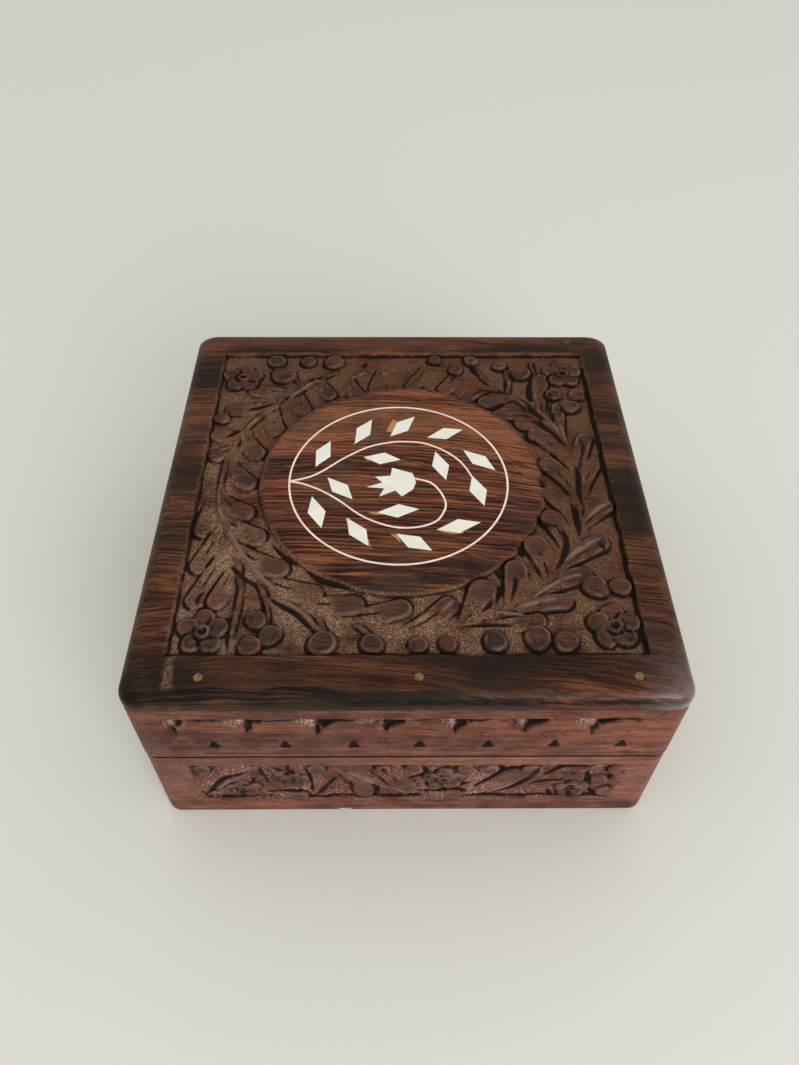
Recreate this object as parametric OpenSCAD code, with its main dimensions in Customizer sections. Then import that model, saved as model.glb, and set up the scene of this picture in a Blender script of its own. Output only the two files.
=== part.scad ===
// Carved and inlaid rosewood keepsake box with a hinged lid, standing on z = 0.
// The front faces -Y and the box is centred on the Z axis. All sizes are millimetres.

/* [Box] */
// Width of the lid's top board, side to side
box_w = 152; // [144:1:176]
// Depth of the lid's top board, front to back
box_d = 155; // [148:1:180]
// Height of the closed box
box_h = 71; // [68:1:90]
// Height of the lower box up to its rim
base_h = 37; // [35:1:40]
// Thickness of the walls and of the lid's rails
wall_t = 10; // [9.5:0.5:12]
// Gap between the two rims when the lid is shut
seam_gap = 0.2; // [0.1:0.1:0.5]
// Corner radius of the lower box, seen from above
base_corner_r = 5; // [5:0.5:9]
// Corner radius of the lid's rails, seen from above
frame_corner_r = 4.5; // [4:0.5:9]

/* [Top board] */
// Thickness of the top board
board_t = 7; // [6.5:0.5:9]
// How far the top board stands out past the walls
board_lip = 0.3; // [0:0.1:1]
// Corner radius of the top board, seen from above
board_corner_r = 5.5; // [5:0.5:10]
// Rounding of the top board's upper edge
edge_r = 5; // [3:0.5:6]
// Plain border left and right of the carved field
border_side = 11.3; // [9:0.1:13]
// Plain border in front of and behind the carved field
border_front = 13; // [10:0.5:15]
// Depth of the carved ground below the top surface
carve_d = 1.5; // [1:0.1:2.5]
// Radius of the plain medallion left standing in the field
medallion_r = 43.8; // [42:0.2:45]
// Sideways place of the medallion
medallion_x = -1; // [-3:0.5:3]

/* [Inlay] */
// Radius of the inlaid ring, to the middle of its strip
ring_r = 34.3; // [30:0.1:36]
// Width of the inlaid ring and stems
strip_w = 0.6; // [0.5:0.1:1.4]
// Depth of every inlaid piece
inlay_t = 1.2; // [0.8:0.1:2]
// Gap round each inlaid piece in its pocket
inlay_gap = 0.05; // [0.02:0.01:0.1]
// Radius of the dowels that pin the top board to the rails
peg_r = 1.2; // [0.8:0.1:1.6]
// Length of the dowels
peg_l = 15; // [11:1:20]

/* [Carved bands] */
// Depth of the bands carved in the walls
band_d = 1.2; // [0.6:0.1:1.6]
// Plain end of each band, from the corner of the walls
band_end = 10.7; // [9.5:0.1:16]
// Height of the lower band's bottom edge
scroll_z = 8; // [6:0.5:9]
// Height of the lower band
scroll_h = 23; // [22:0.5:25]
// Distance of the arch band's foot above the lid's rim
arch_z = 10.3; // [9:0.1:12]
// Height of the arch band
arch_h = 12; // [10:0.5:13]
// Distance between two arches
arch_pitch = 19; // [15:0.5:24]
// Height of one arch
arch_rise = 11; // [9:0.5:12]
// Height of the triangular nick under each arch
nick_h = 4; // [2.5:0.5:5]

/* [Bottom and lining] */
// Thickness of the bottom board
bottom_t = 4; // [3:0.5:6]
// How far the bottom board is let into the walls
rebate_w = 5; // [4:0.5:6]
// Gap round the bottom board in its rebate
bottom_gap = 0.1; // [0.05:0.05:0.3]
// Radius of the brads that hold the bottom board
brad_r = 0.6; // [0.4:0.1:0.9]
// Length of the brads
brad_l = 12; // [9:1:16]
// Thickness of the velvet lining on its card
lining_t = 1.2; // [0.8:0.1:2]
// Gap between the lining and the wood
lining_gap = 0.1; // [0.05:0.05:0.3]
// Bare wood between the lining and the rim
lining_drop = 2; // [1:0.5:4]

/* [Hinges] */
// Distance of each hinge's middle from the side of the box
hinge_inset = 30.7; // [24:0.1:45]
// Length of a hinge along its pin
hinge_l = 25; // [20:1:30]
// Width of a hinge leaf, from the pin's axis
leaf_w = 7; // [6:0.5:7.5]
// Thickness of a hinge leaf
leaf_t = 1; // [0.8:0.1:1.2]
// Outer radius of the knuckles
knuckle_r = 1.7; // [1.5:0.1:1.8]
// Radius of the hinge pins
pin_r = 0.8; // [0.6:0.05:0.9]
// Running gap between the pin and the knuckles
pin_gap = 0.05; // [0.03:0.01:0.09]
// Gap between neighbouring knuckles, and round them
knuckle_gap = 0.15; // [0.1:0.05:0.3]
// Number of knuckles on a hinge
knuckles = 5; // [3:2:5]
// Distance of the pin's axis inside the back face
axis_inset = 1.85; // [1.8:0.05:2.2]
// Angle at which the lid stops against the lower box
open_angle = 100; // [90:1:110]
// Radius of the screws' shanks
screw_r = 0.8; // [0.6:0.1:1]
// Radius of the screws' heads
screw_head_r = 1.7; // [1.4:0.1:1.9]
// Length of the screws
screw_l = 7; // [5:0.5:9]
// Distance of the screws from the middle of the hinge
screw_x = 7.5; // [6:0.5:8]
// Distance of the screws from the pin's axis
screw_y = 4.2; // [4:0.1:4.5]

/* [Hidden] */

$fn = 64;
eps = 0.01;
lap = 1;
rosewood = [0.31, 0.17, 0.12];
bone = [0.93, 0.92, 0.88];
cream = [0.93, 0.80, 0.74];
dowel = [0.66, 0.46, 0.22];
velvet = [0.36, 0.04, 0.08];
brass = [0.78, 0.60, 0.30];
steel = [0.62, 0.60, 0.57];

frame_w = box_w - 2 * board_lip;
hinge_x = frame_w / 2 - hinge_inset;
frame_d = box_d - 2 * board_lip;
inner_w = frame_w - 2 * wall_t;
inner_d = frame_d - 2 * wall_t;
lid_rim_z = base_h + seam_gap;
board_z = box_h - board_t;
rail_h = board_z - lid_rim_z;
ground_z = box_h - carve_d;
back_y = frame_d / 2;
axis_y = back_y - axis_inset;
axis_z = base_h + seam_gap / 2;
lining_w = inner_w - 2 * lining_gap;
lining_d = inner_d - 2 * lining_gap;
// The edge rounding is limited by the corner radius that it runs round
corner_core_r = 0.5;
board_edge_r = min(edge_r, board_corner_r - corner_core_r);
field_w = box_w - 2 * border_side;
field_d = box_d - 2 * border_front;
band_z_lid = lid_rim_z + arch_z;
overcut = 2;

// The carving is drawn on a field and on bands of these sizes, and stretched to the real ones
drawn_field = [129.4, 129];
drawn_band = [130, 23];

// Stems of the field, from root to tip
field_stems = [
    [[-58, 1], [-57, -8], [-52.7, -22], [-46, -33], [-39, -41], [-31, -46], [-25, -51], [-22, -58]],
    [[-31, -46], [-22, -49.5], [-14, -54], [-8, -60]],
    [[-58, 1], [-57.2, 12], [-54, 22], [-49.4, 30.5], [-41.7, 41], [-32, 49], [-24, 55]],
    [[-50.5, -26], [-47.8, -37], [-47, -46], [-47.7, -57]],
    [[-43, -37.5], [-39.5, -46], [-38.4, -54]],
    [[24, 61], [28.6, 51], [35.2, 44.8], [43.4, 34.4], [49, 26], [53, 16], [55, 3], [54.6, -7], [51.5, -20]],
    [[43.9, 34], [46.1, 48], [46.4, 60]],
    [[36.3, 44], [37.2, 50], [36.3, 58]]
];
// Finger leaves of the field: root, tip, width, sideways bend
field_leaves = [
    [[-60.5, -4], [-61.3, -22.8], 5.8, 0.1],
    [[-56, -17], [-61, -36.3], 6.3, 0.12],
    [[-54, -27], [-60.5, -48.5], 6, 0.1],
    [[-50.5, -32], [-54.5, -48.8], 5.5, 0.12],
    [[-56, 17], [-63.2, 10.8], 5.5, 0.2],
    [[-54, 22], [-64, 23.5], 6.5, 0.25],
    [[-44, 38.5], [-61, 35], 6, 0.2],
    [[-38, 45], [-54, 45.5], 6.5, 0.15],
    [[-35, 47], [-46, 55.5], 6.5, 0.1],
    [[47.8, 30], [49.8, 53], 5.2, 0.12],
    [[53.2, 18], [53.8, 38], 4.8, 0.14],
    [[55.8, 2], [60.8, 22], 5.5, 0.12],
    [[55, -8], [62, 10], 5.5, 0.14],
    [[52, -21], [64, -9], 5.5, 0.15],
    [[43.5, -36], [60.5, -24], 6.5, 0.15],
    [[34, -46.5], [54, -36.5], 6, 0.17],
    [[20, -53.5], [47, -46.5], 5.5, 0.13],
    [[14, -54.3], [38.5, -52.5], 5, -0.1],
    [[-57, -10], [-41.3, -23.8], 6.8, -0.26],
    [[28, -50], [31.5, -31.5], 7, -0.15],
    [[14, -55], [22, -38.3], 8.5, -0.25],
    [[-4, -57], [13.5, -45.3], 6, -0.2],
    [[-27, -49.5], [1.5, -47.5], 6.5, -0.2],
    [[-37, -43], [-11.5, -47], 6.8, -0.2],
    [[-46.5, -33], [-23.2, -44], 6.8, -0.22],
    [[-52.5, -22], [-33.3, -35.3], 7, -0.28],
    [[-57.8, -3], [-45.6, -13.6], 6.4, -0.34],
    [[-55.8, 11.5], [-46.6, -2.2], 6.3, -0.3],
    [[-52.5, 25], [-45.8, 10.8], 6.3, -0.24],
    [[-44, 39.5], [-41.3, 21.6], 6, -0.2],
    [[-36.5, 45.5], [-33, 32], 6, -0.18],
    [[-29, 51.5], [-24, 40], 5.5, -0.2],
    [[-19.5, 56], [-14, 39], 5.5, -0.2],
    [[-8, 60], [-10.5, 43.5], 5.5, 0.15],
    [[8, 61], [1.2, 44.5], 5.5, 0.2],
    [[20, 59], [12.6, 43], 5.6, 0.18],
    [[33, 47.5], [19.5, 37.5], 6, -0.2],
    [[40, 41.5], [26, 36], 6, -0.2],
    [[47.5, 30], [30.5, 31], 6.3, -0.22],
    [[53.5, 17], [37, 28.5], 6.3, -0.2],
    [[55.3, 3.5], [41.5, 24], 6.5, -0.2],
    [[54.3, -9], [43.5, 10], 6.5, -0.22],
    [[51.5, -19.5], [43.2, -2.5], 6.5, -0.22],
    [[47.5, -29], [42, -12.5], 7, -0.24],
    [[41, -41], [36.2, -22.6], 7.5, -0.22]
];
// Round buds of the field: place, radius
field_buds = [
    [[-23, -60.3], 4], [[-9.5, -60.3], 3.2], [[-41.5, -52.5], 3.1], [[-37.3, -57.6], 3.2],
    [[-42.5, -61], 3.2], [[23.5, -59.7], 3.4], [[35.5, -58.8], 3.8], [[43.2, -59.6], 3.5],
    [[41.7, 54.3], 4], [[34.6, 58.2], 2.6], [[24.4, 61], 2.6], [[52.3, 42.5], 2.8],
    [[57.2, 36], 3.2], [[60.3, 42.5], 2.8], [[-42.6, 53], 4.4], [[-24.8, 60.4], 3.6],
    [[-45.5, 60.5], 3.2], [[-34, 60.5], 2.8], [[11.3, 61.5], 2.4], [[3, -60.8], 2.6],
    [[11, -60.8], 2.5], [[54, -41.3], 3.9], [[61, -41.2], 3.2], [[18.8, 56], 2.6],
    [[-61.5, 30], 2.6]
];
// Five-petalled flowers of the field: place, radius
field_flowers = [
    [[-55.6, -56.5], 7.4], [[57, -54.8], 7.6], [[56.6, 53.6], 7], [[-56.6, 51.5], 7.2]
];

// Leaves, buds and flowers of the lower band, drawn about the middle of its bottom edge
band_leaves = [
    [[-63.5, 0], [-35, 22.5], 6.5, 0.2],
    [[-62, 1.5], [-46, 14], 5, 0.22],
    [[-21.5, 20], [-12.4, 0.8], 6, 0.2],
    [[-12, 21], [1, 4.5], 7.5, 0.2],
    [[-30, 22], [-26.5, 2.5], 5, 0.25],
    [[22, 1.5], [38.5, 22], 7, -0.24],
    [[20, 3], [33.5, 19], 7.5, -0.15],
    [[39, 14], [55, 22], 4.5, 0.2],
    [[37.5, 7], [54, 12.5], 5, 0.22],
    [[-43, 22], [-38, 8], 6, 0.2],
    [[-45, 3], [-30, 1.8], 4.5, -0.1],
    [[2, 2], [18, 3.4], 4.5, -0.12]
];
band_buds = [
    [[2.3, 20.5], 2.7], [[61.2, 4], 2.7], [[58.4, 12.2], 2.8], [[62, 19], 2.2],
    [[-60, 20], 2.6], [[-26.5, 20], 2.6], [[24.5, 19.4], 3], [[17.6, 20], 2.4],
    [[-7, 19.6], 2.4]
];
band_flowers = [
    [[-49.5, 7], 5.4], [[-33.5, 12.5], 4.6], [[11.5, 12.5], 6.6], [[51, 6.2], 5.4]
];

// The inlay is drawn for a ring of this radius, and grows with the real ring
drawn_ring = 34.3;
ring_centre = [-2, 0.3];

// Inlaid leaves: centre, direction of the long axis, length
inlay_leaf_w = 5.5;
inlay_leaf_skew = 10;
inlay_leaf_list = [
    [[-26.3, 12], 70, 12.5], [[-13.5, 22.5], 65, 13], [[-0.5, 25], 49.5, 12.8],
    [[13.5, 21.5], 18, 12.6], [[24, 9], -43.5, 13.5], [[22.8, -4.5], -77, 13.3],
    [[16, -19.2], 12.5, 13.8], [[2.5, -25.5], -31.8, 12.3], [[-14.3, -21.5], -59, 12.8],
    [[-27, -13.5], -74.5, 13.5], [[-20.3, -3.5], -49, 12.5], [[-7.2, 9.8], -6, 12],
    [[11.5, 6.5], -77, 13.3], [[-2.2, -13], 6, 13]
];
stem_leaf = 5;
outer_stem_points = [
    [-36.5, -0.5], [-30, 1.5], [-25, 5], [-20, 9.5], [-12, 15], [-5, 17.2], [0, 17.6],
    [6, 17], [12, 14], [17, 9.5], [20, 4.5], [22, -1]
];
inner_stem_points = [
    [-36.5, -0.5], [-32, -1.5], [-26, -4.5], [-20, -9], [-14, -14.5], [-8, -18], [-2, -19.8],
    [4, -19.5], [9, -17.5], [11.5, -14], [12.5, -10], [11, -5], [8, -1], [3, 0.8]
];
flower_points = [
    [-4, 5.5], [2.5, 3], [3.5, -1], [2.5, -4], [-1, -7], [-3, -4.5], [-8, -7], [-6.5, -3.5],
    [-12, -3], [-7, -1], [-9.5, 1.5], [-4.5, 2]
];
stem_w = 1.8;
leaf_root_share = 0.25;
leaf_shoulder = 0.7;
leaf_stations = [0, 0.25, 0.5, 0.7, 0.84, 0.94];

// Plan shapes
module rounded_rect(w, d, r) {
    square([w - 2 * r, d], center = true);
    square([w, d - 2 * r], center = true);
    for (sx = [-1, 1], sy = [-1, 1])
        translate([sx * (w / 2 - r), sy * (d / 2 - r)]) circle(r);
}

// A slab with round corners whose upper edge is rounded over
module rounded_slab(w, d, t, corner, edge) {
    core_w = w - 2 * corner;
    core_d = d - 2 * corner;
    linear_extrude(t - edge) rounded_rect(w, d, corner);
    linear_extrude(t) rounded_rect(w - 2 * edge, d - 2 * edge, corner - edge);
    translate([0, 0, t - edge]) {
        for (sx = [-1, 1], sy = [-1, 1])
            translate([sx * core_w / 2, sy * core_d / 2, 0])
                rotate_extrude() {
                    square([corner - edge, edge]);
                    translate([corner - edge, 0]) quarter_disc(edge);
                }
        for (turn = [0, 180]) {
            rotate([0, 0, turn]) translate([w / 2 - edge, core_d / 2, 0])
                rotate([90, 0, 0]) linear_extrude(core_d) edge_profile(edge);
            rotate([0, 0, turn + 90]) translate([d / 2 - edge, core_w / 2, 0])
                rotate([90, 0, 0]) linear_extrude(core_w) edge_profile(edge);
        }
    }
}

module quarter_disc(r) {
    intersection() {
        circle(r);
        square(r);
    }
}

// The quarter round with a lap that reaches into the slab
module edge_profile(r) {
    quarter_disc(r);
    translate([-lap, 0]) square([lap + eps, r]);
}

// A point and a heading on the curve from a to b that bows to its left by the bend
function crown(a, b, bend) = (a + b) / 2 + bend * [a[1] - b[1], b[0] - a[0]];
function bow(a, b, bend, t) = (1 - t) * (1 - t) * a + 2 * t * (1 - t) * crown(a, b, bend) + t * t * b;
function bow_left(a, b, bend, t) =
    let (m = crown(a, b, bend), v = (1 - t) * (m - a) + t * (b - m))
    [-v[1], v[0]] / norm(v);

// Half the width of a finger leaf as a share of its widest place: narrow root, round tip
function swell(t) = t < leaf_shoulder
    ? leaf_root_share + (1 - leaf_root_share) * sin(90 * t / leaf_shoulder)
    : sqrt(max(0, 1 - pow((t - leaf_shoulder) / (1 - leaf_shoulder), 2)));
function leaf_side(a, b, w, bend, side) =
    [for (t = leaf_stations) bow(a, b, bend, t) + side * w / 2 * swell(t) * bow_left(a, b, bend, t)];
function back_to_front(list) = [for (i = [len(list) - 1:-1:0]) list[i]];

module leaf_2d(a, b, w, bend) {
    polygon(concat(leaf_side(a, b, w, bend, 1), [b], back_to_front(leaf_side(a, b, w, bend, -1))));
}

module flower_2d(r) {
    petal_r = 0.42 * r;
    circle(petal_r);
    for (i = [0:4])
        rotate(90 + 72 * i) translate([r - petal_r, 0]) circle(petal_r);
}

// A smooth curve through hand-set points, and a strip of even width along it
function curve_step(a, b, c, d, t) =
    0.5 * (2 * b + t * (c - a) + t * t * (2 * a - 5 * b + 4 * c - d) + t * t * t * (3 * b - a - 3 * c + d));
function curve(p, n) = [
    for (i = [0:len(p) - 2], k = [0:n - 1])
        curve_step(p[max(i - 1, 0)], p[i], p[i + 1], p[min(i + 2, len(p) - 1)], k / n),
    p[len(p) - 1]
];
function left_of(p, i) =
    let (v = p[min(i + 1, len(p) - 1)] - p[max(i - 1, 0)])
    [-v[1], v[0]] / norm(v);

module strip_2d(p, w) {
    left = [for (i = [0:len(p) - 1]) p[i] + w / 2 * left_of(p, i)];
    right = [for (i = [0:len(p) - 1]) p[i] - w / 2 * left_of(p, i)];
    polygon(concat(left, back_to_front(right)));
}

// Carved field of the top board: what is cut away round the medallion, stems, leaves and flowers
function on_field(p) = [p[0] * field_w / drawn_field[0], p[1] * field_d / drawn_field[1]];

module field_motifs_2d() {
    translate([medallion_x, 0]) circle(medallion_r);
    for (s = field_stems)
        strip_2d(curve([for (p = s) on_field(p)], 2), stem_w);
    for (l = field_leaves)
        leaf_2d(on_field(l[0]), on_field(l[1]), l[2], l[3]);
    for (b = field_buds)
        translate(on_field(b[0])) circle(b[1]);
    for (f = field_flowers)
        translate(on_field(f[0])) flower_2d(f[1]);
}

module field_cut() {
    translate([0, 0, ground_z])
        linear_extrude(carve_d + overcut)
            difference() {
                square([field_w, field_d], center = true);
                field_motifs_2d();
            }
}

// Inlay outlines, each grown by a gap for its pocket
inlay_scale = ring_r / drawn_ring;
function in_ring(p) = ring_centre + (p - ring_centre) * inlay_scale;
outer_stem = curve([for (p = outer_stem_points) in_ring(p)], 3);
inner_stem = curve([for (p = inner_stem_points) in_ring(p)], 3);

module ring_2d(gap) {
    translate(ring_centre)
        difference() {
            circle(ring_r + strip_w / 2 + gap);
            circle(ring_r - strip_w / 2 - gap);
        }
}

module inlay_leaf_2d(i, gap) {
    l = inlay_leaf_list[i];
    half_l = l[2] / 2 * inlay_scale + 2 * gap;
    half_w = inlay_leaf_w / 2 * inlay_scale + gap;
    across = [sin(inlay_leaf_skew), cos(inlay_leaf_skew)] * half_w;
    translate(in_ring(l[0])) rotate(l[1]) polygon([[half_l, 0], across, [-half_l, 0], -across]);
}

module flower_inlay_2d(gap) {
    offset(delta = gap) polygon([for (p = flower_points) in_ring(p)]);
}

module outer_stem_2d(gap) {
    difference() {
        strip_2d(outer_stem, strip_w + 2 * gap);
        ring_2d(inlay_gap - gap);
        inlay_leaf_2d(stem_leaf, inlay_gap - gap);
    }
}

module inner_stem_2d(gap) {
    difference() {
        strip_2d(inner_stem, strip_w + 2 * gap);
        ring_2d(inlay_gap - gap);
        strip_2d(outer_stem, strip_w + 2 * (inlay_gap - gap));
        flower_inlay_2d(inlay_gap - gap);
    }
}

module set_in_top(gap) {
    translate([0, 0, box_h - inlay_t - gap])
        linear_extrude(inlay_t + gap + (gap > 0 ? overcut : 0)) children();
}

module inlay_pockets() {
    set_in_top(inlay_gap) {
        ring_2d(inlay_gap);
        strip_2d(outer_stem, strip_w + 2 * inlay_gap);
        strip_2d(inner_stem, strip_w + 2 * inlay_gap);
        flower_inlay_2d(inlay_gap);
        for (i = [0:len(inlay_leaf_list) - 1])
            inlay_leaf_2d(i, inlay_gap);
    }
}

module inlay_ring() {
    color(cream) set_in_top(0) ring_2d(0);
}

module inlay_outer_stem() {
    color(cream) set_in_top(0) outer_stem_2d(0);
}

module inlay_inner_stem() {
    color(cream) set_in_top(0) inner_stem_2d(0);
}

module inlay_flower() {
    color(bone) set_in_top(0) flower_inlay_2d(0);
}

module inlay_leaves() {
    color(bone)
        for (i = [0:len(inlay_leaf_list) - 1])
            set_in_top(0) inlay_leaf_2d(i, 0);
}

// Dowels through the top board into the front and back rails
peg_inset = 6.2;
peg_places = [for (x = [-54.5, 3, 60.5], side = [-1, 1])
    [x * field_w / drawn_field[0], side * (box_d / 2 - peg_inset)]];

module pegs(gap) {
    for (p = peg_places)
        translate([p[0], p[1], box_h - peg_l - gap])
            cylinder(r = peg_r + gap, h = peg_l + (gap > 0 ? gap + overcut : 0));
}

module lid_pegs() {
    color(dowel) pegs(0);
}

module lid_top_board() {
    color(rosewood)
        difference() {
            translate([0, 0, board_z]) rounded_slab(box_w, box_d, board_t, board_corner_r, board_edge_r);
            field_cut();
            inlay_pockets();
            pegs(inlay_gap);
        }
}

// Bands carved in the outer faces. Side 0 is the front, and each next side is a quarter turn on
function side_span(side) = side % 2 == 0 ? frame_w : frame_d;
function side_reach(side) = side % 2 == 0 ? frame_d / 2 : frame_w / 2;
function band_len(side) = side_span(side) - 2 * band_end;

module on_side(side, z, depth) {
    rotate([0, 0, 90 * side]) translate([0, depth - side_reach(side), z]) rotate([90, 0, 0])
        linear_extrude(depth + overcut) children();
}

module scroll_motifs_2d(side) {
    stretch = band_len(side) / drawn_band[0];
    rise = scroll_h / drawn_band[1];
    for (l = band_leaves)
        leaf_2d([l[0][0] * stretch, l[0][1] * rise], [l[1][0] * stretch, l[1][1] * rise], l[2], l[3]);
    for (b = band_buds)
        translate([b[0][0] * stretch, b[0][1] * rise]) circle(b[1]);
    for (f = band_flowers)
        translate([f[0][0] * stretch, f[0][1] * rise]) flower_2d(f[1]);
}

module scroll_band_cut(side) {
    on_side(side, scroll_z, band_d)
        difference() {
            translate([-band_len(side) / 2, 0]) square([band_len(side), scroll_h]);
            scroll_motifs_2d(side);
        }
}

function arch_count(side) = ceil((band_len(side) - arch_start) / arch_pitch);
function arch_x(side, i) = arch_start - band_len(side) / 2 + i * arch_pitch;
arch_start = 11.5;
arch_step = 15;
nick_w = 3.6;
nick_d = 1;
nick_drop = 4.5;

module arch_2d() {
    polygon([for (a = [0:arch_step:180]) [arch_pitch / 2 * cos(a), arch_rise * sin(a)]]);
}

module arch_band_cut(side) {
    on_side(side, band_z_lid, band_d)
        difference() {
            translate([-band_len(side) / 2, 0]) square([band_len(side), arch_h]);
            for (i = [0:arch_count(side) - 1])
                translate([arch_x(side, i), 0]) arch_2d();
        }
    on_side(side, band_z_lid - nick_drop, nick_d)
        for (i = [0:arch_count(side) - 1])
            translate([arch_x(side, i), 0]) polygon([[-nick_w / 2, 0], [nick_w / 2, 0], [0, nick_h]]);
}

// Front and back pieces run the full width with round ends, and side pieces butt between them
module end_plan_2d(r) {
    difference() {
        rounded_rect(frame_w, frame_d, r);
        translate([-box_w, wall_t - frame_d / 2]) square([2 * box_w, 2 * box_d]);
    }
}

module side_plan_2d() {
    translate([-frame_w / 2, -inner_d / 2]) square([wall_t, inner_d]);
}

// Grooves and leaf mortises for the hinges, and the bevels that meet when the lid is open
bevel_angle = open_angle / 2 + 1;
pin_head_t = 0.5;
pin_head_r = 1.2;
pin_end_gap = 0.1;
barrel_room = hinge_l + 2 * (pin_end_gap + pin_head_t + knuckle_gap);
mortise_gap = 0.05;

module along_x(x, length, r) {
    translate([x - length / 2, axis_y, axis_z]) rotate([0, 90, 0]) cylinder(r = r, h = length);
}

// Both rims are cut alike: up is 1 for the lid's rim and -1 for the lower box's
module hinge_cuts(up) {
    rim_z = up > 0 ? lid_rim_z : base_h;
    reach = axis_inset + overcut;
    drop = reach * tan(bevel_angle);
    translate([-box_w, 0, 0]) rotate([90, 0, 90]) linear_extrude(2 * box_w)
        polygon([[axis_y, rim_z], [axis_y + reach, rim_z + up * drop],
                 [axis_y + reach, rim_z - up * overcut], [axis_y, rim_z - up * overcut]]);
    for (side = [-1, 1]) {
        along_x(side * hinge_x, barrel_room, knuckle_r + knuckle_gap);
        translate([side * hinge_x - hinge_l / 2 - mortise_gap, axis_y - leaf_w - mortise_gap,
                   up > 0 ? rim_z - overcut : rim_z - leaf_t - mortise_gap])
            cube([hinge_l + 2 * mortise_gap, leaf_w + mortise_gap, leaf_t + mortise_gap + overcut]);
        hinge_screws_at(side, up, mortise_gap);
    }
}

module hinge_screws_at(side, up, gap) {
    rim_z = up > 0 ? lid_rim_z : base_h;
    for (sx = [-1, 1])
        translate([side * hinge_x + sx * screw_x, axis_y - screw_y, rim_z])
            mirror([0, 0, up > 0 ? 0 : 1]) {
                cylinder(r = screw_r + gap, h = screw_l + gap);
                cylinder(r1 = screw_head_r + gap, r2 = screw_r + gap, h = leaf_t);
            }
}

// Lid rails, between the seam and the top board
module lid_front_rail() {
    color(rosewood)
        difference() {
            translate([0, 0, lid_rim_z]) linear_extrude(rail_h) end_plan_2d(frame_corner_r);
            arch_band_cut(0);
            pegs(inlay_gap);
        }
}

module lid_back_rail() {
    color(rosewood)
        difference() {
            translate([0, 0, lid_rim_z]) linear_extrude(rail_h) rotate(180) end_plan_2d(frame_corner_r);
            arch_band_cut(2);
            pegs(inlay_gap);
            hinge_cuts(1);
        }
}

module lid_left_rail() {
    color(rosewood)
        difference() {
            translate([0, 0, lid_rim_z]) linear_extrude(rail_h) side_plan_2d();
            arch_band_cut(3);
        }
}

module lid_right_rail() {
    color(rosewood)
        difference() {
            translate([0, 0, lid_rim_z]) linear_extrude(rail_h) rotate(180) side_plan_2d();
            arch_band_cut(1);
        }
}

// Lower box: walls with a rebate for the bottom board, which is bradded in from below
board_let_w = inner_w + 2 * (rebate_w - bottom_gap);
board_let_d = inner_d + 2 * (rebate_w - bottom_gap);
brad_head_r = 1.1;
brad_head_t = 0.6;
brad_inset = rebate_w / 2;

module bottom_rebate() {
    translate([0, 0, (bottom_t + bottom_gap) / 2 - overcut / 2])
        cube([inner_w + 2 * rebate_w, inner_d + 2 * rebate_w, bottom_t + bottom_gap + overcut], center = true);
}

module brads(gap) {
    places = concat(
        [for (x = [-0.4, 0, 0.4], s = [-1, 1]) [x * inner_w, s * (inner_d / 2 + brad_inset)]],
        [for (y = [-0.3, 0.3], s = [-1, 1]) [s * (inner_w / 2 + brad_inset), y * inner_d]]
    );
    for (p = places)
        translate([p[0], p[1], 0]) {
            cylinder(r = brad_r + gap, h = brad_l + gap);
            cylinder(r = brad_head_r + gap, h = brad_head_t + gap);
        }
}

module base_wall(side) {
    difference() {
        linear_extrude(base_h) children();
        scroll_band_cut(side);
        bottom_rebate();
        brads(mortise_gap);
    }
}

module base_front_wall() {
    color(rosewood) base_wall(0) end_plan_2d(base_corner_r);
}

module base_back_wall() {
    color(rosewood)
        difference() {
            base_wall(2) rotate(180) end_plan_2d(base_corner_r);
            hinge_cuts(-1);
        }
}

module base_left_wall() {
    color(rosewood) base_wall(3) side_plan_2d();
}

module base_right_wall() {
    color(rosewood) base_wall(1) rotate(180) side_plan_2d();
}

module base_bottom_board() {
    color(rosewood)
        difference() {
            translate([-board_let_w / 2, -board_let_d / 2, 0]) cube([board_let_w, board_let_d, bottom_t]);
            brads(mortise_gap);
        }
}

module bottom_brads() {
    color(steel) brads(0);
}

// Velvet on card, glued to the inside of the lower box and of the lid
module lining_sheet(z) {
    translate([-lining_w / 2, -lining_d / 2, z]) cube([lining_w, lining_d, lining_t]);
}

module lining_end(z, h) {
    translate([-lining_w / 2, -lining_d / 2, z]) cube([lining_w, lining_t, h]);
}

module lining_side(z, h) {
    translate([-lining_w / 2, lining_t - lining_d / 2, z]) cube([lining_t, lining_d - 2 * lining_t, h]);
}

floor_z = bottom_t + bottom_gap;
base_lining_z = floor_z + lining_t;
base_lining_h = base_h - lining_drop - base_lining_z;
lid_lining_z = lid_rim_z + lining_drop;
lid_lining_h = board_z - lining_gap - lining_t - lid_lining_z;

module base_lining_floor() {
    color(velvet) lining_sheet(floor_z);
}

module base_lining_front() {
    color(velvet) lining_end(base_lining_z, base_lining_h);
}

module base_lining_back() {
    color(velvet) rotate([0, 0, 180]) lining_end(base_lining_z, base_lining_h);
}

module base_lining_left() {
    color(velvet) lining_side(base_lining_z, base_lining_h);
}

module base_lining_right() {
    color(velvet) rotate([0, 0, 180]) lining_side(base_lining_z, base_lining_h);
}

module lid_lining_top() {
    color(velvet) lining_sheet(board_z - lining_gap - lining_t);
}

module lid_lining_front() {
    color(velvet) lining_end(lid_lining_z, lid_lining_h);
}

module lid_lining_back() {
    color(velvet) rotate([0, 0, 180]) lining_end(lid_lining_z, lid_lining_h);
}

module lid_lining_left() {
    color(velvet) lining_side(lid_lining_z, lid_lining_h);
}

module lid_lining_right() {
    color(velvet) rotate([0, 0, 180]) lining_side(lid_lining_z, lid_lining_h);
}

// Brass butt hinges: the lower leaf carries the odd knuckles, and the lid's leaf the even ones
knuckle_pitch = hinge_l / knuckles;
function knuckle_x(side, i) = side * hinge_x - hinge_l / 2 + (i + 0.5) * knuckle_pitch;

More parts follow.
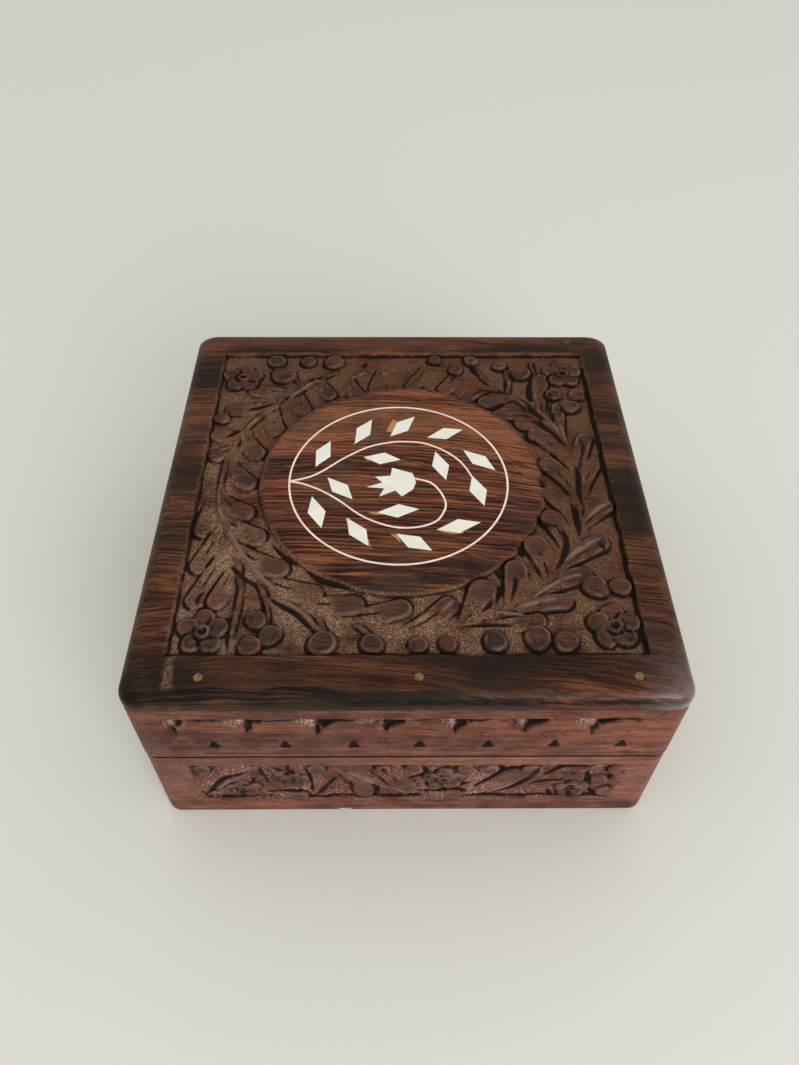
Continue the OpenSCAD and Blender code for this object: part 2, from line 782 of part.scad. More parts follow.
module hinge_leaf(side, up) {
    first = up > 0 ? 1 : 0;
    plate_z = up > 0 ? lid_rim_z : base_h - leaf_t;
    difference() {
        union() {
            translate([side * hinge_x - hinge_l / 2, axis_y - leaf_w, plate_z]) cube([hinge_l, leaf_w, leaf_t]);
            for (i = [first:2:knuckles - 1])
                along_x(knuckle_x(side, i), knuckle_pitch, knuckle_r);
        }
        for (i = [1 - first:2:knuckles - 1])
            along_x(knuckle_x(side, i), knuckle_pitch + knuckle_gap, knuckle_r + knuckle_gap);
        along_x(side * hinge_x, barrel_room, pin_r + pin_gap);
        hinge_screws_at(side, up, mortise_gap);
    }
}

module left_hinge_lid_leaf() {
    color(brass) hinge_leaf(-1, 1);
}

module right_hinge_lid_leaf() {
    color(brass) hinge_leaf(1, 1);
}

module left_hinge_base_leaf() {
    color(brass) hinge_leaf(-1, -1);
}

module right_hinge_base_leaf() {
    color(brass) hinge_leaf(1, -1);
}

// Pins with a small head at each end, so that they can't walk out
module hinge_pin(side) {
    along_x(side * hinge_x, hinge_l + 2 * pin_end_gap, pin_r);
    for (s = [-1, 1])
        along_x(side * hinge_x + s * (hinge_l / 2 + pin_end_gap + pin_head_t / 2), pin_head_t, pin_head_r);
}

module left_hinge_pin() {
    color(steel) hinge_pin(-1);
}

module right_hinge_pin() {
    color(steel) hinge_pin(1);
}

screw_slot_w = 0.5;
screw_slot_d = 0.4;

module slotted_screws(up) {
    rim_z = up > 0 ? lid_rim_z : base_h;
    difference() {
        for (side = [-1, 1])
            hinge_screws_at(side, up, 0);
        for (side = [-1, 1], sx = [-1, 1])
            translate([side * hinge_x + sx * screw_x, axis_y - screw_y, rim_z])
                cube([screw_slot_w, 2 * screw_head_r + 1, 2 * screw_slot_d], center = true);
    }
}

module lid_hinge_screws() {
    color(brass) slotted_screws(1);
}

module base_hinge_screws() {
    color(brass) slotted_screws(-1);
}

lid_top_board();
lid_front_rail();
lid_back_rail();
lid_left_rail();
lid_right_rail();
inlay_ring();
inlay_outer_stem();
inlay_inner_stem();
inlay_flower();
inlay_leaves();
lid_pegs();
lid_lining_top();
lid_lining_front();
lid_lining_back();
lid_lining_left();
lid_lining_right();
left_hinge_lid_leaf();
right_hinge_lid_leaf();
lid_hinge_screws();
base_front_wall();
base_back_wall();
base_left_wall();
base_right_wall();
base_bottom_board();
bottom_brads();
base_lining_floor();
base_lining_front();
base_lining_back();
base_lining_left();
base_lining_right();
left_hinge_base_leaf();
right_hinge_base_leaf();
left_hinge_pin();
right_hinge_pin();
base_hinge_screws();
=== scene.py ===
# Carved and inlaid rosewood keepsake box with a hinged lid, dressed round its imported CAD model.
import math

import bmesh
import bpy
import numpy as np
from mathutils import Matrix, Vector


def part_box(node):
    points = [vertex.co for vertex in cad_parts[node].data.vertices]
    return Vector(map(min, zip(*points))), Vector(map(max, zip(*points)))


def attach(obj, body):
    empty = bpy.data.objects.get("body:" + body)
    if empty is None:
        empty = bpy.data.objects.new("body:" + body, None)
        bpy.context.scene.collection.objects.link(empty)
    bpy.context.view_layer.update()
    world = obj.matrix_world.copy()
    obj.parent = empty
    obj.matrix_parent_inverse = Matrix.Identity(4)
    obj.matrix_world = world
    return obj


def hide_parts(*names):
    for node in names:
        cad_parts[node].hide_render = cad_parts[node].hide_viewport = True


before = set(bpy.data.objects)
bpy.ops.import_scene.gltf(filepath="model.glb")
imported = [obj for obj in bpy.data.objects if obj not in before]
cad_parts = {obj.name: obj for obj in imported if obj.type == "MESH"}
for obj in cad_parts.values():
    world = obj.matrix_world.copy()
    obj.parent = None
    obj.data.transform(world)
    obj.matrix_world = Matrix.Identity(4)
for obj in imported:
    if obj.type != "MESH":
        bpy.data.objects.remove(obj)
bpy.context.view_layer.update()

MM = 0.001

# The viewpoint. The photograph was taken by hand from in front of the box and well above it,
# with the lens tilted down about 49 degrees, and turned and rolled by less than one.
CAMERA_PLACE = Vector((-3.95, -187.6, 263.7)) * MM
CAMERA_DOWN = math.radians(49.283)
CAMERA_TURN = math.radians(0.733)
CAMERA_ROLL = math.radians(-0.491)
LENS_MM = 28.82
SENSOR_MM = 36
NEAREST_SEEN = 0.01

camera = bpy.data.objects.new("camera", bpy.data.cameras.new("camera"))
bpy.context.scene.collection.objects.link(camera)
ahead = Vector((math.sin(CAMERA_TURN) * math.cos(CAMERA_DOWN),
                math.cos(CAMERA_TURN) * math.cos(CAMERA_DOWN), -math.sin(CAMERA_DOWN)))
level_right = Vector((math.cos(CAMERA_TURN), -math.sin(CAMERA_TURN), 0))
level_down = ahead.cross(level_right)
right = level_right * math.cos(CAMERA_ROLL) + level_down * math.sin(CAMERA_ROLL)
down = level_down * math.cos(CAMERA_ROLL) - level_right * math.sin(CAMERA_ROLL)
camera.matrix_world = Matrix.Translation(CAMERA_PLACE) @ Matrix((right, -down, -ahead)).transposed().to_4x4()
camera.data.lens = LENS_MM
camera.data.sensor_width = SENSOR_MM
camera.data.clip_start = NEAREST_SEEN
bpy.context.scene.camera = camera
bpy.context.scene.view_settings.view_transform = "Standard"

# The light. Soft daylight comes from a window on the front right, and the pale room fills the rest.
ROOM_LIGHT = 0.80
ROOM_COLOUR = (1.0, 0.985, 0.95, 1)
WINDOW_WATTS = 17.0
WINDOW_COLOUR = (1.0, 0.97, 0.92)
WINDOW_PLACE = Vector((0.62, -1.35, 0.62))
WINDOW_SIZE = 1.0

world = bpy.data.worlds.new("pale_room")
world.use_nodes = True
world.node_tree.nodes["Background"].inputs["Color"].default_value = ROOM_COLOUR
world.node_tree.nodes["Background"].inputs["Strength"].default_value = ROOM_LIGHT
bpy.context.scene.world = world

window = bpy.data.objects.new("window", bpy.data.lights.new("window", "AREA"))
window.data.size = WINDOW_SIZE
window.data.energy = WINDOW_WATTS
window.data.color = WINDOW_COLOUR
window.location = WINDOW_PLACE
window.rotation_euler = (-WINDOW_PLACE).to_track_quat("-Z", "Y").to_euler()
bpy.context.scene.collection.objects.link(window)

# The floor is a plain pale painted board. It only gives the box something to stand on, and is wide
# enough to fill the view.
FLOOR_HALF = 2.5
FLOOR_COLOUR = (0.70, 0.70, 0.655)


class Shade:
    """A socket in a material's node tree. Arithmetic on it adds Math nodes."""

    def __init__(self, material, socket=None):
        self.material = material
        self.socket = socket

    def node(self, kind, settings=(), inputs=(), output=0):
        tree = self.material.node_tree
        made = tree.nodes.new("ShaderNode" + kind)
        for name, value in dict(settings).items():
            if name == "stops":
                ramp = made.color_ramp.elements
                ramp.remove(ramp[0])
                ramp[0].position, ramp[0].color = value[0][0], (*value[0][1], 1)
                for place, colour in value[1:]:
                    ramp.new(place).color = (*colour, 1)
            else:
                setattr(made, name, value)
        for name, value in dict(inputs).items():
            if isinstance(value, Shade):
                tree.links.new(value.socket, made.inputs[name])
            else:
                made.inputs[name].default_value = value
        return Shade(self.material, made.outputs[output])

    def maths(self, operation, first, second=0.0):
        return self.node("Math", {"operation": operation}, {0: first, 1: second})

    def __add__(self, other):
        return self.maths("ADD", self, other)

    def __sub__(self, other):
        return self.maths("SUBTRACT", self, other)

    def __rsub__(self, other):
        return self.maths("SUBTRACT", other, self)

    def __mul__(self, other):
        return self.maths("MULTIPLY", self, other)

    def __neg__(self):
        return 0 - self

    def __abs__(self):
        return self.maths("ABSOLUTE", self)

    __radd__ = __add__
    __rmul__ = __mul__

    def over(self, low, high):
        """0 at low, 1 at high, and a smooth change between."""
        return self.node("MapRange", {"interpolation_type": "SMOOTHSTEP"},
                         {"Value": self, "From Min": low, "From Max": high})

    def mix(self, first, second):
        """The first colour where self is 0 and the second where it is 1."""
        first, second = ((*colour, 1) if isinstance(colour, tuple) else colour for colour in (first, second))
        return self.node("Mix", {"data_type": "RGBA", "clamp_factor": True},
                         {"Factor": self, 6: first, 7: second}, 2)

    def place(self):
        """The point's own place on the object, in metres."""
        return self.node("TexCoord", output=3)

    def vector(self, x, y, z):
        return self.node("CombineXYZ", {}, {0: x, 1: y, 2: z})

    def cloud(self, vector, detail=2.0, rough=0.5, scale=1.0, distortion=0.0):
        return self.node("TexNoise", {}, {"Vector": vector, "Scale": scale, "Detail": detail,
                                          "Roughness": rough, "Distortion": distortion})

    def bump(self, strength, distance):
        return self.node("Bump", {}, {"Height": self, "Strength": strength, "Distance": distance})

    def finish(self, sockets):
        """Ends the node tree in a Principled shader, and returns the material."""
        shader = self.node("BsdfPrincipled", {}, sockets)
        output = self.material.node_tree.nodes.new("ShaderNodeOutputMaterial")
        self.material.node_tree.links.new(shader.socket, output.inputs["Surface"])
        return self.material


def new_material(name):
    material = bpy.data.materials.new(name)
    material.use_nodes = True
    material.node_tree.nodes.clear()
    return Shade(material)


def plain_paint(name, colour, rough):
    return new_material(name).finish({"Base Color": (*colour, 1), "Roughness": rough})


floor_mesh = bpy.data.meshes.new("floor")
corners = ((-1, -1), (1, -1), (1, 1), (-1, 1))
floor_mesh.from_pydata([(x * FLOOR_HALF, y * FLOOR_HALF, 0) for x, y in corners], [], [(0, 1, 2, 3)])
floor = bpy.data.objects.new("floor", floor_mesh)
bpy.context.scene.collection.objects.link(floor)
floor.data.materials.append(plain_paint("floor_paint", FLOOR_COLOUR, 0.7))

# The top board is one piece of rosewood with a rounded upper edge. A field of leafy scrolls is cut
# into it by hand round a plain medallion, and the ground between is punched with a matting tool.
BOX_H = 71.0
BOARD_HALF = (76.0, 77.5)
BOARD_BOTTOM = 64.0
BOARD_CORNER = 5.5
EDGE_ROUND = 5.0
CORNER_SANDING = 3.5
TOP_Z = BOX_H - 0.06
SHARP_ANGLE = math.radians(50)
FIELD_HALF = (64.7, 64.5)
FIELD_DEPTH = 1.5
MEDALLION = ((-1.0, 0.0), 43.8)
GRID_STEP = 0.30
LEAF_DISCS = 30
LEAF_ROOT_SHARE = 0.25
HEADS_SMOOTH = 0.6
STEM_RADIUS = 0.9
PETALS = 5
# The side of a bud that the gouge came from, where its groove is deepest and most darkened with dirt
# and painted shade, opposite the painted sheen on its rim: in degrees, and how much it varies.
GOUGE_AND_SHADE_SIDE = (235, 35)
# Tool marks: how wide each is in grid steps, and how high in millimetres.
GROUND_MARKS = ((9, 0.13), (4, 0.07), (2, 0.08))
LEAF_MARKS = ((3, 0.035), (1, 0.02))
BUD_MARKS = ((3, 0.04), (1, 0.02))
# Grooves beside the motifs: how wide, and how far below the ground as a share of the field's depth.
LEAF_GROOVE = (0.9, 0.3)
BUD_GROOVE = (0.8, 0.3)
STEM_GROOVE = (0.6, 0.18)

FIELD_STEMS = [
    [(-58, 1), (-57, -8), (-52.7, -22), (-46, -33), (-39, -41), (-31, -46), (-25, -51), (-22, -58)],
    [(-31, -46), (-22, -49.5), (-14, -54), (-8, -60)],
    [(-58, 1), (-57.2, 12), (-54, 22), (-49.4, 30.5), (-41.7, 41), (-32, 49), (-24, 55)],
    [(-50.5, -26), (-47.8, -37), (-47, -46), (-47.7, -57)],
    [(-43, -37.5), (-39.5, -46), (-38.4, -54)],
    [(24, 61), (28.6, 51), (35.2, 44.8), (43.4, 34.4), (49, 26), (53, 16), (55, 3), (54.6, -7), (51.5, -20)],
    [(43.9, 34), (46.1, 48), (46.4, 60)],
    [(36.3, 44), (37.2, 50), (36.3, 58)],
]
FIELD_LEAVES = [
    ((-60.5, -4), (-61.3, -22.8), 5.8, 0.1),
    ((-56, -17), (-61, -36.3), 6.3, 0.12),
    ((-54, -27), (-60.5, -48.5), 6, 0.1),
    ((-50.5, -32), (-54.5, -48.8), 5.5, 0.12),
    ((-56, 17), (-63.2, 10.8), 5.5, 0.2),
    ((-54, 22), (-64, 23.5), 6.5, 0.25),
    ((-44, 38.5), (-61, 35), 6, 0.2),
    ((-38, 45), (-54, 45.5), 6.5, 0.15),
    ((-35, 47), (-46, 55.5), 6.5, 0.1),
    ((47.8, 30), (49.8, 53), 5.2, 0.12),
    ((53.2, 18), (53.8, 38), 4.8, 0.14),
    ((55.8, 2), (60.8, 22), 5.5, 0.12),
    ((55, -8), (62, 10), 5.5, 0.14),
    ((52, -21), (64, -9), 5.5, 0.15),
    ((43.5, -36), (60.5, -24), 6.5, 0.15),
    ((34, -46.5), (54, -36.5), 6, 0.17),
    ((20, -53.5), (47, -46.5), 5.5, 0.13),
    ((14, -54.3), (38.5, -52.5), 5, -0.1),
    ((-57, -10), (-41.3, -23.8), 6.8, -0.26),
    ((28, -50), (31.5, -31.5), 7, -0.15),
    ((14, -55), (22, -38.3), 8.5, -0.25),
    ((-4, -57), (13.5, -45.3), 6, -0.2),
    ((-27, -49.5), (1.5, -47.5), 6.5, -0.2),
    ((-37, -43), (-11.5, -47), 6.8, -0.2),
    ((-46.5, -33), (-23.2, -44), 6.8, -0.22),
    ((-52.5, -22), (-33.3, -35.3), 7, -0.28),
    ((-57.8, -3), (-45.6, -13.6), 6.4, -0.34),
    ((-55.8, 11.5), (-46.6, -2.2), 6.3, -0.3),
    ((-52.5, 25), (-45.8, 10.8), 6.3, -0.24),
    ((-44, 39.5), (-41.3, 21.6), 6, -0.2),
    ((-36.5, 45.5), (-33, 32), 6, -0.18),
    ((-29, 51.5), (-24, 40), 5.5, -0.2),
    ((-19.5, 56), (-14, 39), 5.5, -0.2),
    ((-8, 60), (-10.5, 43.5), 5.5, 0.15),
    ((8, 61), (1.2, 44.5), 5.5, 0.2),
    ((20, 59), (12.6, 43), 5.6, 0.18),
    ((33, 47.5), (19.5, 37.5), 6, -0.2),
    ((40, 41.5), (26, 36), 6, -0.2),
    ((47.5, 30), (30.5, 31), 6.3, -0.22),
    ((53.5, 17), (37, 28.5), 6.3, -0.2),
    ((55.3, 3.5), (41.5, 24), 6.5, -0.2),
    ((54.3, -9), (43.5, 10), 6.5, -0.22),
    ((51.5, -19.5), (43.2, -2.5), 6.5, -0.22),
    ((47.5, -29), (42, -12.5), 7, -0.24),
    ((41, -41), (36.2, -22.6), 7.5, -0.22),
]
FIELD_BUDS = [
    ((-23, -60.3), 4), ((-9.5, -60.3), 3.2), ((-41.5, -52.5), 3.1), ((-37.3, -57.6), 3.2),
    ((-42.5, -61), 3.2), ((23.5, -59.7), 3.4), ((35.5, -58.8), 3.8), ((43.2, -59.6), 3.5),
    ((41.7, 54.3), 4), ((34.6, 58.2), 2.6), ((24.4, 61), 2.6), ((52.3, 42.5), 2.8), ((57.2, 36), 3.2),
    ((60.3, 42.5), 2.8), ((-42.6, 53), 4.4), ((-24.8, 60.4), 3.6), ((-45.5, 60.5), 3.2), ((-34, 60.5), 2.8),
    ((11.3, 61.5), 2.4), ((3, -60.8), 2.6), ((11, -60.8), 2.5), ((54, -41.3), 3.9), ((61, -41.2), 3.2),
    ((18.8, 56), 2.6), ((-61.5, 30), 2.6),
]
FIELD_FLOWERS = [((-55.6, -56.5), 7.4), ((57, -54.8), 7.6), ((56.6, 53.6), 7), ((-56.6, 51.5), 7.2)]
FIELD_CUTS = [
    ([(-44.5, 38.5), (-49.5, 35.8), (-54, 33.5)], 1.1, 0.6),
    ([(-54.5, 25.5), (-57, 22.4), (-59.4, 20.6)], 1.0, 0.6),
    ([(-33.6, 45.6), (-35.4, 44.2), (-37.8, 41.6)], 1.1, 0.6),
    ([(-28.6, 53), (-31, 51.3), (-34, 51)], 1.2, 0.6),
    ([(-51.5, -32.5), (-47, -37.5), (-44, -39.6), (-41, -43)], 1.0, 0.5),
    ([(-39.5, -44.5), (-34.8, -47.6), (-30, -51), (-25, -57)], 1.3, 0.7),
    ([(-40.6, -44.6), (-39.6, -49.5), (-38.2, -54.5)], 1.0, 0.6),
    ([(-48, -36), (-47.4, -42), (-48.6, -49)], 1.0, 0.35),
    ([(-56.6, -42.6), (-58.6, -45.6), (-57.8, -48.4)], 0.9, 0.6),
    ([(-49.5, -50), (-49, -57), (-48.2, -63)], 0.9, 0.35),
    ([(39.5, 31.4), (45, 27.6), (50, 22), (53, 17)], 1.8, 0.75),
    ([(42, 36), (45.6, 32.8), (48, 29)], 1.4, 0.6),
    ([(23.8, 60), (25, 56.6), (27.4, 52.2)], 1.5, 0.7),
    ([(35.6, 50), (36.4, 45.8)], 1.0, 0.6),
    ([(44.6, 50), (43.7, 44), (44.4, 37)], 1.5, 0.7),
    ([(38, 56), (38.3, 51.6), (40.6, 50)], 1.2, 0.6),
    ([(46.8, 60.5), (46.9, 55.5)], 0.9, 0.5),
    ([(55, 8), (55.4, 3), (54.6, -3), (54.8, -9.5)], 1.5, 0.7),
    ([(52.2, -22), (52.3, -15), (51.2, -8)], 1.7, 0.7),
    ([(47.2, -18.6), (47.9, -24), (46.4, -30), (43.6, -34.6)], 1.7, 0.7),
    ([(26.4, -40.4), (25.6, -44.6), (20.4, -50.4)], 1.2, 0.6),
    ([(57, -24.8), (59.2, -29)], 1.3, 0.7),
    ([(31.8, -37.8), (30.2, -44)], 1.1, 0.4),
    ([(14.5, -54.6), (22.5, -54.2), (30, -55)], 0.9, 0.5),
    ([(56.9, 22), (58.6, 16), (57.2, 10)], 0.9, 0.4),
    ([(50.4, 35.5), (50.8, 28)], 0.9, 0.4),
    ([(50.6, 43), (51, 39)], 1.1, 0.6),
    ([(54.6, 36.6), (54.2, 33.2), (57, 32.4)], 1.3, 0.6),
    ([(24, 45.4), (29, 45), (35, 43.6)], 1.0, 0.5),
    ([(-13.4, 61), (-14.3, 57.5)], 1.3, 0.5),
    ([(-4, 46), (-2.6, 44.6)], 1.4, 0.7),
    ([(8.4, 44.6), (9.8, 43.2)], 1.4, 0.7),
    ([(-21, 41.4), (-19, 39.6)], 1.5, 0.7),
    ([(-40, -24.6), (-36, -29.5), (-31.5, -33.4)], 1.0, 0.5),
    ([(-28.6, -35.6), (-24, -39), (-16, -41.6)], 1.2, 0.5),
    ([(26, -35.2), (27.8, -38.6)], 1.3, 0.6),
    ([(33.4, -26.6), (34.4, -30)], 1.4, 0.6),
    ([(40.2, -14), (41.2, -17.6), (45.8, -18.8)], 1.4, 0.7),
    ([(42.6, 1), (43.6, -3)], 1.4, 0.6),
    ([(39, 21.6), (41.5, 18.4)], 1.4, 0.6),
]
FIELD_RIDGES = [
    ([(35.5, -45), (40, -41.6), (46, -38.3), (53.5, -36.6)], 1.1),
    ([(29.6, -49), (36, -47), (43.5, -45.6)], 1.4),
    ([(46.5, -31.5), (51.5, -27.2), (58, -23.6)], 1.9),
    ([(9.6, -50.4), (13.2, -46.4)], 1.3),
    ([(55.6, -15), (60, -11), (64, -9)], 1.2),
    ([(52.4, 27.5), (53.6, 18)], 0.8),
    ([(46, 45), (45.6, 40), (46.4, 35)], 0.8),
    ([(-18.4, 51.6), (-13, 55)], 1.2),
    ([(-9.4, 51.6), (-5, 55), (-1, 57)], 1.5),
    ([(-54.6, 25), (-53, 18), (-54.4, 11)], 0.9),
    ([(-58.4, -2), (-57, -11), (-53, -20), (-48, -28.6), (-40, -40)], 1.0),
    ([(-48, -30.5), (-43, -36), (-36, -43.5)], 1.1),
    ([(-34, -46), (-29, -50), (-23, -57)], 1.1),
    ([(-38.6, -45), (-36, -52), (-34, -56.5)], 0.9),
    ([(24.6, -49.6), (34, -51.5)], 0.9),
    ([(-43, 37), (-47, 33), (-51, 27)], 1.0),
    ([(-29, 50.5), (-34, 46.8), (-39.6, 41)], 1.2),
    ([(39.4, 44), (45, 36), (50.6, 26), (52.6, 20)], 1.0),
]
GROOVED_SIDES = {"left": 0.35, "right": 1.15, "front": 0.6, "back": 0.45}


def smooth(low, high, value):
    t = np.clip((value - low) / (high - low), 0, 1)
    return t * t * (3 - 2 * t)


def hump(value, centre, width):
    """1 where the value is at the centre, falling away to 0 on both sides."""
    return np.exp(-(((value - centre) / width) ** 2))


def curve_points(points, spacing):
    """Points at an even spacing on the smooth curve through a few given ones."""
    p = np.array([points[0], *points, points[-1]], float)
    steps = np.linspace(0, 1, 40, endpoint=False)[:, None]
    parts = []
    for a, b, c, d in zip(p, p[1:], p[2:], p[3:]):
        parts.append(0.5 * (2 * b + steps * (c - a) + steps**2 * (2 * a - 5 * b + 4 * c - d)
                            + steps**3 * (3 * b - a - 3 * c + d)))
    line = np.vstack([*parts, p[-1:]])
    run = np.concatenate([[0], np.cumsum(np.hypot(*np.diff(line, axis=0).T))])
    wanted = np.linspace(0, run[-1], max(2, int(run[-1] / spacing)))
    return np.column_stack([np.interp(wanted, run, line[:, 0]), np.interp(wanted, run, line[:, 1])])


def ripples(shape, cell, rng):
    """A smooth random field with lumps about cell grid steps wide."""
    coarse = rng.standard_normal((shape[0] // cell + 3, shape[1] // cell + 3))
    i = np.arange(shape[0]) / cell
    j = np.arange(shape[1]) / cell
    i0, j0 = i.astype(int), j.astype(int)
    fi = smooth(0, 1, i - i0)[:, None]
    fj = smooth(0, 1, j - j0)[None, :]
    near, far = ((1 - fj) * coarse[np.ix_(i0 + step, j0)] + fj * coarse[np.ix_(i0 + step, j0 + 1)]
                 for step in (0, 1))
    return (1 - fi) * near + fi * far


def blurred(field, cells):
    """The field averaged over a few grid steps each way."""
    for axis in (0, 1):
        for _ in range(2):
            padded = np.pad(field, [(cells, cells) if a == axis else (0, 0) for a in (0, 1)], mode="edge")
            field = sum(np.take(padded, range(k, k + field.shape[axis]), axis) for k in range(2 * cells + 1))
            field = field / (2 * cells + 1)
    return field


class Relief:
    """A carved face: the height of each point of a fine grid, in millimetres, with 0 the uncut wood.

    Other layers say how far each point is punched, a smooth tip, darkened by dirt and painted shade,
    lit by a speckled painted highlight, or polished with a painted sheen, from 0 to 1. The calm layer
    is 0 where no bright ridge shows.
    """

    def __init__(self, xs, ys, depth, seed):
        self.xs, self.ys, self.depth = xs, ys, depth
        self.rng = np.random.default_rng(seed)
        for layer in ("height", "punched", "tip", "dirt", "chalk", "polish"):
            setattr(self, layer, np.zeros((len(xs), len(ys))))
        self.calm = np.ones((len(xs), len(ys)))

    def uneven(self, shape, *marks):
        """The sum of some ripples, each given by its width in grid steps and its height."""
        return sum(height * ripples(shape, cell, self.rng) for cell, height in marks)

    def patches(self, shape, cell, low, high):
        """Random patches of 0 and 1 with smooth borders. Lower limits leave less of the 0."""
        return smooth(low, high, ripples(shape, cell, self.rng))

    # Darkens points with dirt and painted shade, which the material paints near black.
    def paint_dirt_and_shade(self, place, amount):
        self.dirt[place] = np.maximum(self.dirt[place], amount)

    def score(self, place, mark, deep, dirty):
        """Cuts a mark into a motif, as deep as a share of the carving's depth."""
        self.height[place] -= deep * self.depth * mark
        # The mark is darkened with dirt and painted shade.
        self.paint_dirt_and_shade(place, dirty * mark)

    def put(self, place, inside, height, punched, tip, polish=0.0):
        """Leaves a motif standing in wood with no dirt or painted shade, whatever was carved there before.
        """
        layers = ((self.dirt, 0), (self.height, height), (self.punched, punched), (self.tip, tip),
                  (self.polish, polish))
        for layer, value in layers:
            layer[place] = np.where(inside, value, layer[place])

    def lower_ground(self, x0, x1, y0, y1, grooves):
        """Cuts the ground away inside a rectangle, with steep sides and a groove of its own along each."""
        shape = self.height.shape
        gaps = {"left": (self.xs - x0)[:, None], "right": (x1 - self.xs)[:, None],
                "front": (self.ys - y0)[None, :], "back": (y1 - self.ys)[None, :]}
        edge = np.minimum(np.minimum(gaps["left"], gaps["right"]), np.minimum(gaps["front"], gaps["back"]))
        inside = smooth(0.0, 0.4, edge + self.uneven(shape, (9, 0.12)))
        self.height = -self.depth * inside
        self.height += inside * self.uneven(shape, *GROUND_MARKS)
        for side, strength in grooves.items():
            waver = self.uneven(shape, (14, 0.22), (4, 0.1))
            line = hump(gaps[side] - 0.55 + waver, 0, 0.42) * (edge > -0.1)
            line *= smooth(-1.1, 0.3, ripples(shape, 26, self.rng) + 1.4 * strength - 0.6)
            self.height -= 0.55 * strength * line
            # Dirt and painted shade darken each groove.
            self.paint_dirt_and_shade(..., np.clip(strength, 0, 1) * line)
        self.punched = inside.copy()

    def near(self, centres, radii, margin):
        """The window round a chain of discs, the distance outside it, and the nearest disc's number."""
        low = (centres - radii[:, None]).min(0) - margin
        high = (centres + radii[:, None]).max(0) + margin
        i = slice(*np.searchsorted(self.xs, (low[0], high[0])))
        j = slice(*np.searchsorted(self.ys, (low[1], high[1])))
        x, y = np.meshgrid(self.xs[i], self.ys[j], indexing="ij")
        best = np.full(x.shape, 1e3)
        which = np.zeros(x.shape, int)
        for k, (c, r) in enumerate(zip(centres, radii)):
            gap = np.hypot(x - c[0], y - c[1]) - r
            which[gap < best] = k
            best = np.minimum(best, gap)
        return (i, j), x, y, best, which

    def near_curve(self, points, width, end, power):
        """The window along a curve, the distance from it, and a share that falls away at both ends."""
        centres = curve_points(points, 0.4)
        run = np.sin(np.linspace(end, np.pi - end, len(centres))) ** power
        place, _, _, gap, k = self.near(centres, 0 * run, width)
        return place, gap, run[k]

    def groove(self, place, gap, width, extra, share):
        """Cuts a fine groove round a motif, below the ground, where share is over 0."""
        share = share * self.patches(gap.shape, 7, -1.6, 0.2)
        closeness = 1 - np.clip(gap / width, 0, 1)
        level = -self.depth * (1 + extra * closeness)
        here = self.height[place]
        beside = (gap > 0) & (gap < width)
        self.height[place] = np.where(beside, np.minimum(here, here + (level - here) * share), here)
        # Dirt and painted shade darken the groove, most near the motif.
        self.paint_dirt_and_shade(place, np.where(beside, share * closeness**0.7, 0))

    def leaf(self, root, tip, width, bend):
        """A finger leaf: a ridge along its outer side, a creased and punched hollow, and a round head.

        Most heads are smooth, dished a little, and polished on the inner side of their rim, with a painted
        sheen there. Dirt and painted shade darken the groove outside the leaf and its crease.
        """
        a, b = np.array(root, float), np.array(tip, float)
        span = b - a
        crown = (a + b) / 2 + bend * np.array([-span[1], span[0]])
        reach = 1 - 0.5 * width / np.hypot(*span)
        t = np.linspace(0, reach, LEAF_DISCS)[:, None]
        centres = (1 - t) ** 2 * a + 2 * t * (1 - t) * crown + t * t * b
        heading = (1 - t) * (crown - a) + t * (b - crown)
        heading /= np.hypot(heading[:, 0], heading[:, 1])[:, None]
        share = t[:, 0] / reach
        swell = LEAF_ROOT_SHARE + (1 - LEAF_ROOT_SHARE) * np.sin(np.pi / 2 * np.clip(share / 0.85, 0, 1))
        radii = width / 2 * swell
        place, x, y, gap, k = self.near(centres, radii, 1.2)
        along = share[k]
        edge = np.clip(1 + gap / radii[k], 0, 1)
        across = heading[k, 0] * (y - centres[k, 1]) - heading[k, 1] * (x - centres[k, 0])
        across *= np.sign(-bend if bend else -1)
        outer = np.sign(across)
        smooth_head = self.rng.random() < HEADS_SMOOTH
        head = smooth(0.70, 0.84, along + 0.05 * outer * edge)
        plain = head * (1.0 if smooth_head else 0.35)
        rim = hump(edge, 0.86, 0.12) * np.maximum(0.5 * head, (outer > 0) * smooth(0.08, 0.35, along))
        rim *= self.patches(x.shape, 6, -1.2, 0.6)
        # A painted sheen on the inner side of a head's rim, where it is polished.
        polished_rim_sheen = hump(edge, 0.85, 0.10) * head * smooth(-0.3, 0.9, -outer)
        polished_rim_sheen *= self.patches(x.shape, 7, -0.6, 0.8)
        level = -1.0 + 0.48 * smooth(0.1, 0.8, along) - 0.3 * smooth(0.3, 1.0, -outer * edge) * (1 - head)
        hollow = level + rim * (0.22 + 0.26 * along)
        dish = -0.34 + 0.24 * smooth(0.25, 0.84, edge) - 0.42 * smooth(0.86, 1.0, edge)
        height = self.depth * (hollow + (dish - hollow) * plain)
        height += self.uneven(x.shape, *LEAF_MARKS)
        outer_side = smooth(-0.5, 0.5, across / (radii[k] + np.clip(gap, 0, None)))
        self.groove(place, gap, *LEAF_GROOVE, outer_side * np.maximum(head, smooth(0.05, 0.3, along)))
        self.put(place, gap < 0, height, (1 - plain) * (1 - 0.8 * rim), np.maximum(plain, 0.3 * rim),
                 0.6 * polished_rim_sheen)
        crease = hump(across / radii[k], 0.15, 0.13) * smooth(0.08, 0.3, along)
        crease *= 1 - smooth(0.70, 0.92, along)
        crease *= (gap < 0) * self.patches(x.shape, 8, -0.9, 0.5)
        self.score(place, crease, 0.22, 0.6)

